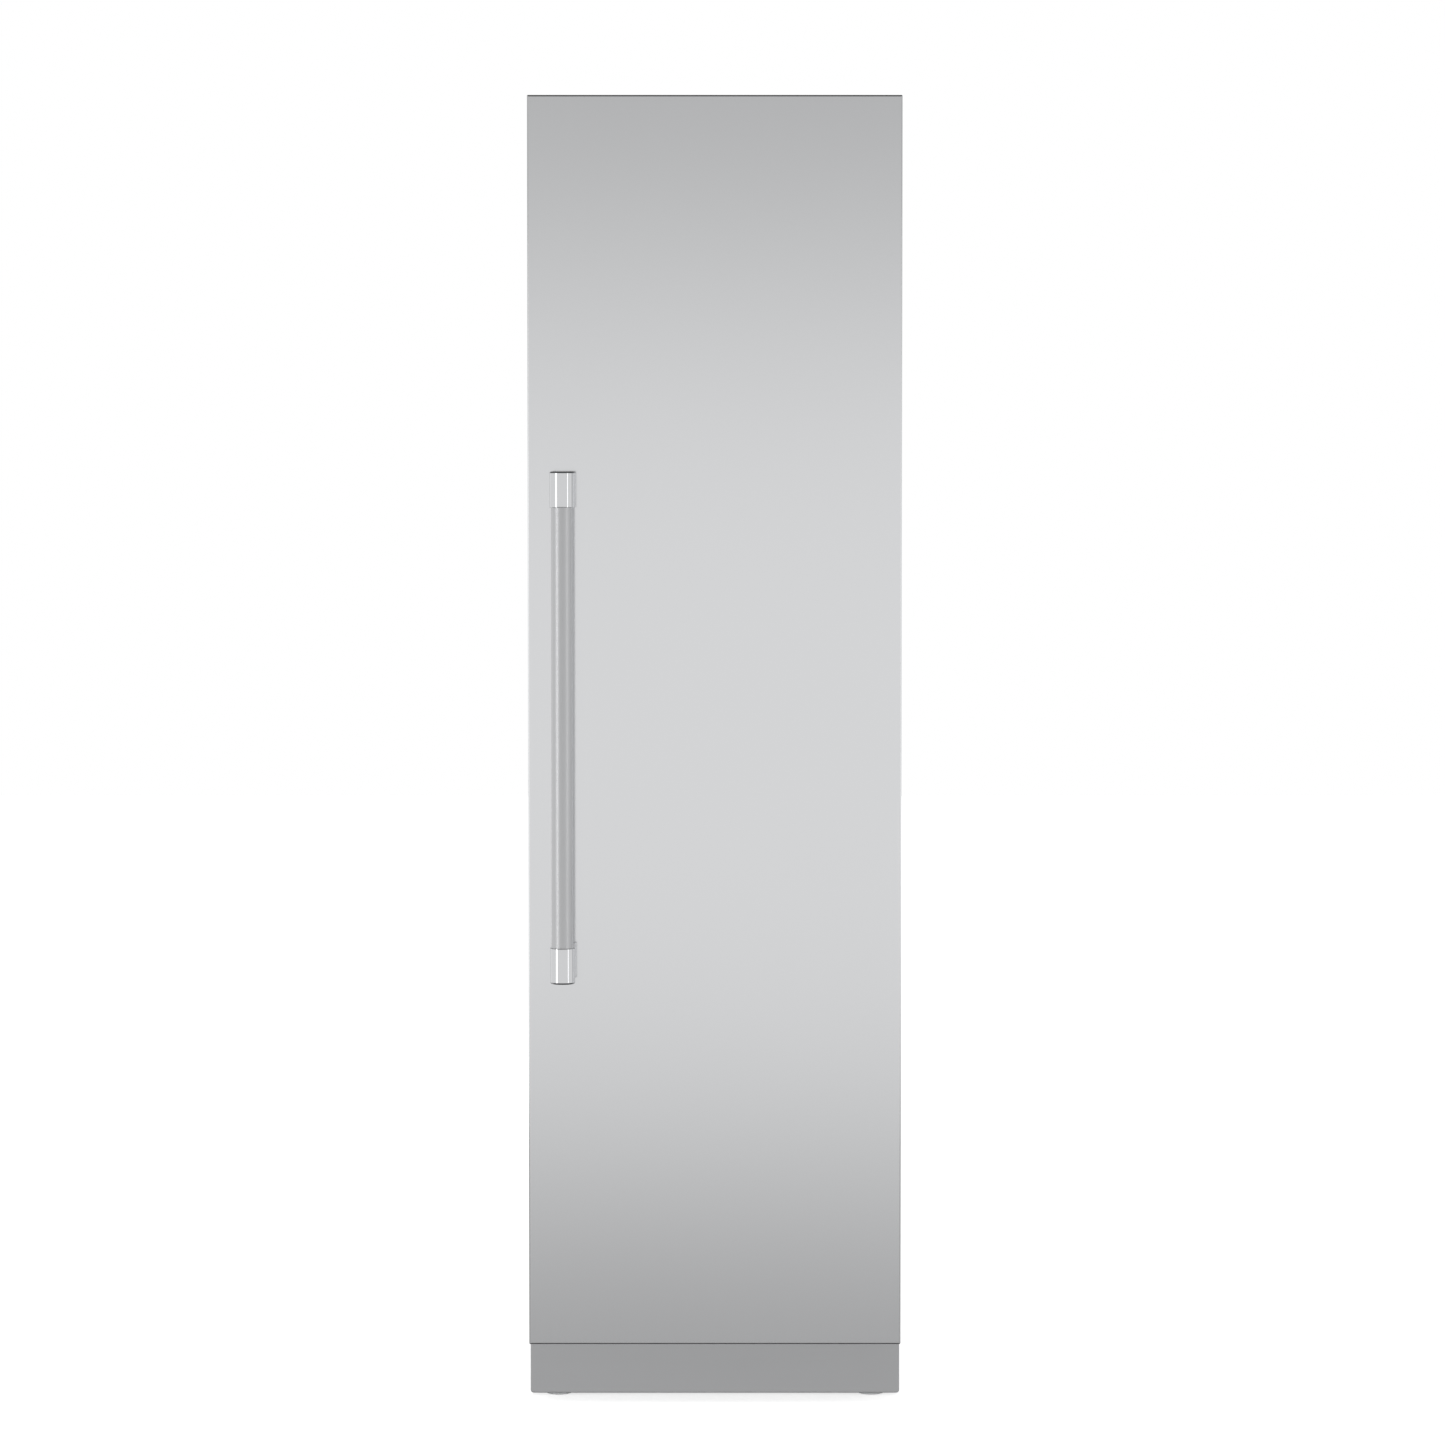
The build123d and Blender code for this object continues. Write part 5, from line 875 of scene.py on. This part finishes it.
# %% Condenser
low, high = corners_of("condenser_coil")
bank_half, bank_z, bank_floor, bank_pitch, bank_radius = mm(117.9, 56, 34, 28, 3.2)
first_fin, fin_pitch, plate_half, plate_gap = mm(6, 4, 0.75, 4)
bank_x = (low[0] + high[0]) / 2
left, right = bank_x - bank_half, bank_x + bank_half
tubes = [coil(left, right, y, bank_z, bank_pitch, 5, bank_radius) for y in mm(-93.4, -65.4)]
add_piece("condenser_tubes", tubes, "cabinet", "copper", "condenser_coil")
places = np.arange(left + first_fin, right - first_fin, fin_pitch)
plates = [eased_block((x - plate_half, low[1], bank_floor), (x + plate_half, *high[1:]), *mm(2, 0.2), "x")
          for x in (places[0] - plate_gap, places[-1] + plate_gap)]
bank_fins = fins(places, low[1], high[1], bank_floor + 8 * MM, high[2])
add_piece("condenser_fins", bank_fins + plates, "cabinet", "bare_aluminium")

# %% Fans
def fan(hub_radius, tip_radius, hub_depth, chord, pitch_root, pitch_tip, blades=5, thick=1.4 * MM):
    """A turned hub and twisted blades: at share s of its length a blade is a closed leaf, c from -1/2 to 1/2
    along its chord and thick * sqrt(1 - (2 c)^2) through, turned by the pitch there."""
    bend, rise = rounded_edge(3 * MM)
    hub = turned(np.r_[hub_radius - bend, hub_radius, hub_radius - 0.5 * MM],
                 np.r_[rise, hub_depth - 0.5 * MM, hub_depth], "y", points=48)
    s = np.linspace(0, 1, 10)[:, None]
    angle = np.linspace(0, 2 * np.pi, 20, endpoint=False)[None]
    width = chord * (0.62 + 0.38 * np.sin(s * np.pi * 0.62)) * np.sqrt(1 - 0.75 * s ** 12)
    c, wall = np.cos(angle) / 2, thick / 2 * np.sin(angle)
    camber = 0.10 * width * (1 - 4 * c * c)
    pitch = pitch_root + (pitch_tip - pitch_root) * s
    tangent = c * width * np.cos(pitch) - (camber + wall) * np.sin(pitch)
    axial = c * width * np.sin(pitch) + (camber + wall) * np.cos(pitch) + hub_depth / 2
    root_radius = hub_radius - 1.2 * MM
    radial = root_radius + (tip_radius - root_radius) * s + 0 * c
    turns = [tangent / radial + 2 * np.pi * number / blades for number in range(blades)]
    return [hub] + [solid_from_rows(np.stack([radial * np.cos(turn), axial, radial * np.sin(turn)], -1))
                    for turn in turns]


fan_pitch, tip_share = (math.radians(38), math.radians(24)), 0.98
cooling_x = sum(corner[0] for corner in corners_of("condenser_fan_housing")) / 2
for name, place, slot, x, z, hub_radius, hub_depth, chord in (
    ("cold", "evaporator", "white_trim", 0.0, *mm(615, 15, 12, 25)),
    ("cooling", "condenser", "dark_plastic", cooling_x, *mm(127, 24, 16, 36)),
):
    low, high = corners_of(place + "_fan_blade")
    tip = min(high[0] - low[0], high[2] - low[2]) / 2 * tip_share
    centre = (x, (low[1] + high[1] - hub_depth) / 2, z)
    wheel = [(points + centre, faces) for points, faces in fan(hub_radius, tip, hub_depth, chord, *fan_pitch)]
    add_piece(name + "_fan_wheel", wheel, name + "_fan", slot, place + "_fan_blade")

# %% [markdown]
# ## The compressor
#
# A hermetic compressor is two deep-drawn steel cups, pushed together and welded round. The weld leaves a
# seam that stands out, and black paint covers it all. The shell is turned; the box over the terminals,
# the foot plate and the pipe stubs are added. It stands on four rubber mounts.

# %% Compressor
low, high = corners_of("compressor")
shell_x, shell_y, shell_radius, seam_radius, bevel = mm(113.4, 222.1, 78, 81.8, 0.6)
plate_top = low[2] + 3 * MM
seam_low, seam_high = plate_top + 96.3 * MM, plate_top + 103.3 * MM
cup_low, cup_high, dome_flat = mm(44, 46, 4)
base_flat = 0.45
t = np.linspace(0, np.pi / 2, 12)
lower_cup = np.stack([shell_radius * (base_flat + (1 - base_flat) * np.sin(t)),
                      plate_top + cup_low * (1 - np.cos(t))], -1)
seam = [(shell_radius, seam_low - 2 * MM), (shell_radius + bevel, seam_low - bevel), (seam_radius - bevel, seam_low),
        (seam_radius, seam_low + bevel), (seam_radius, seam_high - bevel), (seam_radius - bevel, seam_high),
        (shell_radius + bevel, seam_high + bevel)]
upper_cup = np.stack([shell_radius * np.cos(t) ** 0.7, high[2] - cup_high * (1 - np.sin(t))], -1)
upper_cup[-1, 0] = dome_flat
shell = turned(*np.concatenate([lower_cup, seam, upper_cup]).T, "z", (shell_x, shell_y, 0), 72)
plate_x, plate_y, stub_radius, stub_end = mm(118, 64, 3.2, 19.4)
foot_plate = eased_block((shell_x - plate_x, shell_y - plate_y, low[2]),
                         (shell_x + plate_x, shell_y + plate_y, plate_top), 14 * MM, MM, "z")
terminal_box = upright_block(shell_x, plate_top + 59 * MM, mm(52, 58), low[1], shell_y - 60 * MM, *mm(5, 3))
stubs = [turned([stub_radius, stub_radius], [stub_end, shell_x - shell_radius / 2], "x", (0, shell_y, level), 24)
         for level in mm(114.9, 133.8)]
add_piece("compressor_shell", [shell, foot_plate, terminal_box] + stubs, "cabinet", "black_paint", "compressor")

# %% Rubber mounts
low, high = corners_of("compressor_mounts")
mount_radius, neck_radius, row_inset = mm(12, 8.5, 10.4)
height = high[2] - low[2]
bend, rise = rounded_edge(2 * MM, 4)
mount = turned(np.r_[mount_radius - bend, mount_radius - bend[::-1], neck_radius - 0 * bend],
               np.minimum(np.r_[rise, height / 2 - rise[::-1], height / 2 + rise * 4], height), points=32)
places = [(x, y, low[2]) for x in (low[0] + mount_radius, high[0] - mount_radius)
          for y in (low[1] + row_inset, high[1] - row_inset)]
add_piece("rubber_mounts", copies(mount, places), "cabinet", "black_rubber", "compressor_mounts")

# %% [markdown]
# ## The studio
#
# The photograph's background is plain white. Light Path makes the world white for the eye and for rays
# through glass, and the floor for the eye, while the light on the refrigerator stays at a plain level.
# Steel shows what stands in front of it, so mirror rays meet a studio wall, given as shades by the angle
# above the horizon: bright at the height of the door's middle, darker towards ceiling and floor.

# %% World
light_level = 0.62
wall_stops = (
    (-90, 0.02), (-45, 0.05), (-32, 0.50), (-20, 0.56), (-12, 0.50), (-9.3, 0.48), (-8.9, 0.54), (-8.4, 0.63),
    (-7.7, 0.77), (-6.9, 0.9), (-6.1, 0.99), (-5, 1.0), (-0.9, 1.0), (0.2, 0.98), (1.1, 0.91), (2.0, 0.8),
    (2.7, 0.72), (3.5, 0.63), (5, 0.62), (9, 0.62), (16, 0.16), (90, 0.08),
)
world = bpy.context.scene.world = bpy.data.worlds.new("studio")
world.use_nodes = True
tree = world.node_tree
path = add_node(tree, "LightPath", {}).outputs
apart = add_node(tree, "SeparateXYZ", {0: add_node(tree, "TexCoord", {}).outputs["Generated"]})
height = add_node(tree, "MapRange", {"Value": apart.outputs["Z"], "From Min": -1.0, "From Max": 1.0})
shade = add_node(tree, "ValToRGB", {"Fac": height.outputs["Result"]})
stops = shade.color_ramp.elements
while len(stops) < len(wall_stops):
    stops.new(0.5)
for stop, (angle, level) in zip(stops, wall_stops):
    stop.position = 0.5 + 0.5 * math.sin(math.radians(angle))
    stop.color = (level, level, level, 1)
seen = add_node(tree, "Math", {0: path["Is Camera Ray"], 1: path["Is Transmission Ray"]}, operation="MAXIMUM")
plain = (light_level, light_level, light_level, 1)
lit = add_node(tree, "Mix", {0: seen.outputs[0], 6: plain, 7: (1, 1, 1, 1)}, data_type="RGBA")
mirrored = {0: path["Is Glossy Ray"], 6: lit.outputs[2], 7: shade.outputs["Color"]}
feed(tree.nodes["Background"], {"Color": add_node(tree, "Mix", mirrored, data_type="RGBA").outputs[2]})
print("the world lights with", light_level, "and looks white")

# %% Floor
floor_half, floor_lift = 15.0, 0.68
mesh = bpy.data.meshes.new("floor")
corners = np.array([(-1, -1, 0), (1, -1, 0), (1, 1, 0), (-1, 1, 0)]) * floor_half
mesh.from_pydata(corners.tolist(), [], [(0, 1, 2, 3)])
floor = new_object("floor", mesh)
floor.visible_glossy = False
material = bpy.data.materials.new("studio_floor")
material.use_nodes = True
tree = material.node_tree
seen = add_node(tree, "LightPath", {}).outputs["Is Camera Ray"]
lift = add_node(tree, "Math", {0: seen, 1: floor_lift}, operation="MULTIPLY")
feed(tree.nodes["Principled BSDF"], {
    "Base Color": (0.86, 0.86, 0.86, 1), "Roughness": 0.9,
    "Emission Color": (1, 1, 1, 1), "Emission Strength": lift.outputs[0],
})
mesh.materials.append(material)
print("floor", 2 * floor_half, "m wide")

# %% Lamps
def soft_box(name, place, aim, width, height, watts, mirrored=True):
    """A rectangular area lamp at place, looking at aim, unseen but for mirror rays where mirrored is True."""
    light = bpy.data.lights.new(name, "AREA")
    light.shape, light.size, light.size_y, light.energy = "RECTANGLE", width, height, watts
    lamp = new_object(name, light)
    lamp.location = place
    x, y, z = np.array(aim) - place
    lamp.rotation_euler = (math.atan2(math.hypot(x, y), -z), 0, math.atan2(-x, y))
    lamp.visible_camera = False
    lamp.visible_glossy = mirrored


middle_height = reach_at_start[1][2] / 2
soft_box("left_box", (-3.7, -2.8, 1.0), (0, 0, middle_height), 1.1, 2.4, 11.5)
soft_box("right_box", (3.3, -2.9, 1.0), (0, 0, middle_height), 0.4, 2.4, 4)
soft_box("top_box", (0.0, -1.0, 5.0), (0, 0, 0), 3.0, 3.0, 60, mirrored=False)
print("three soft boxes")
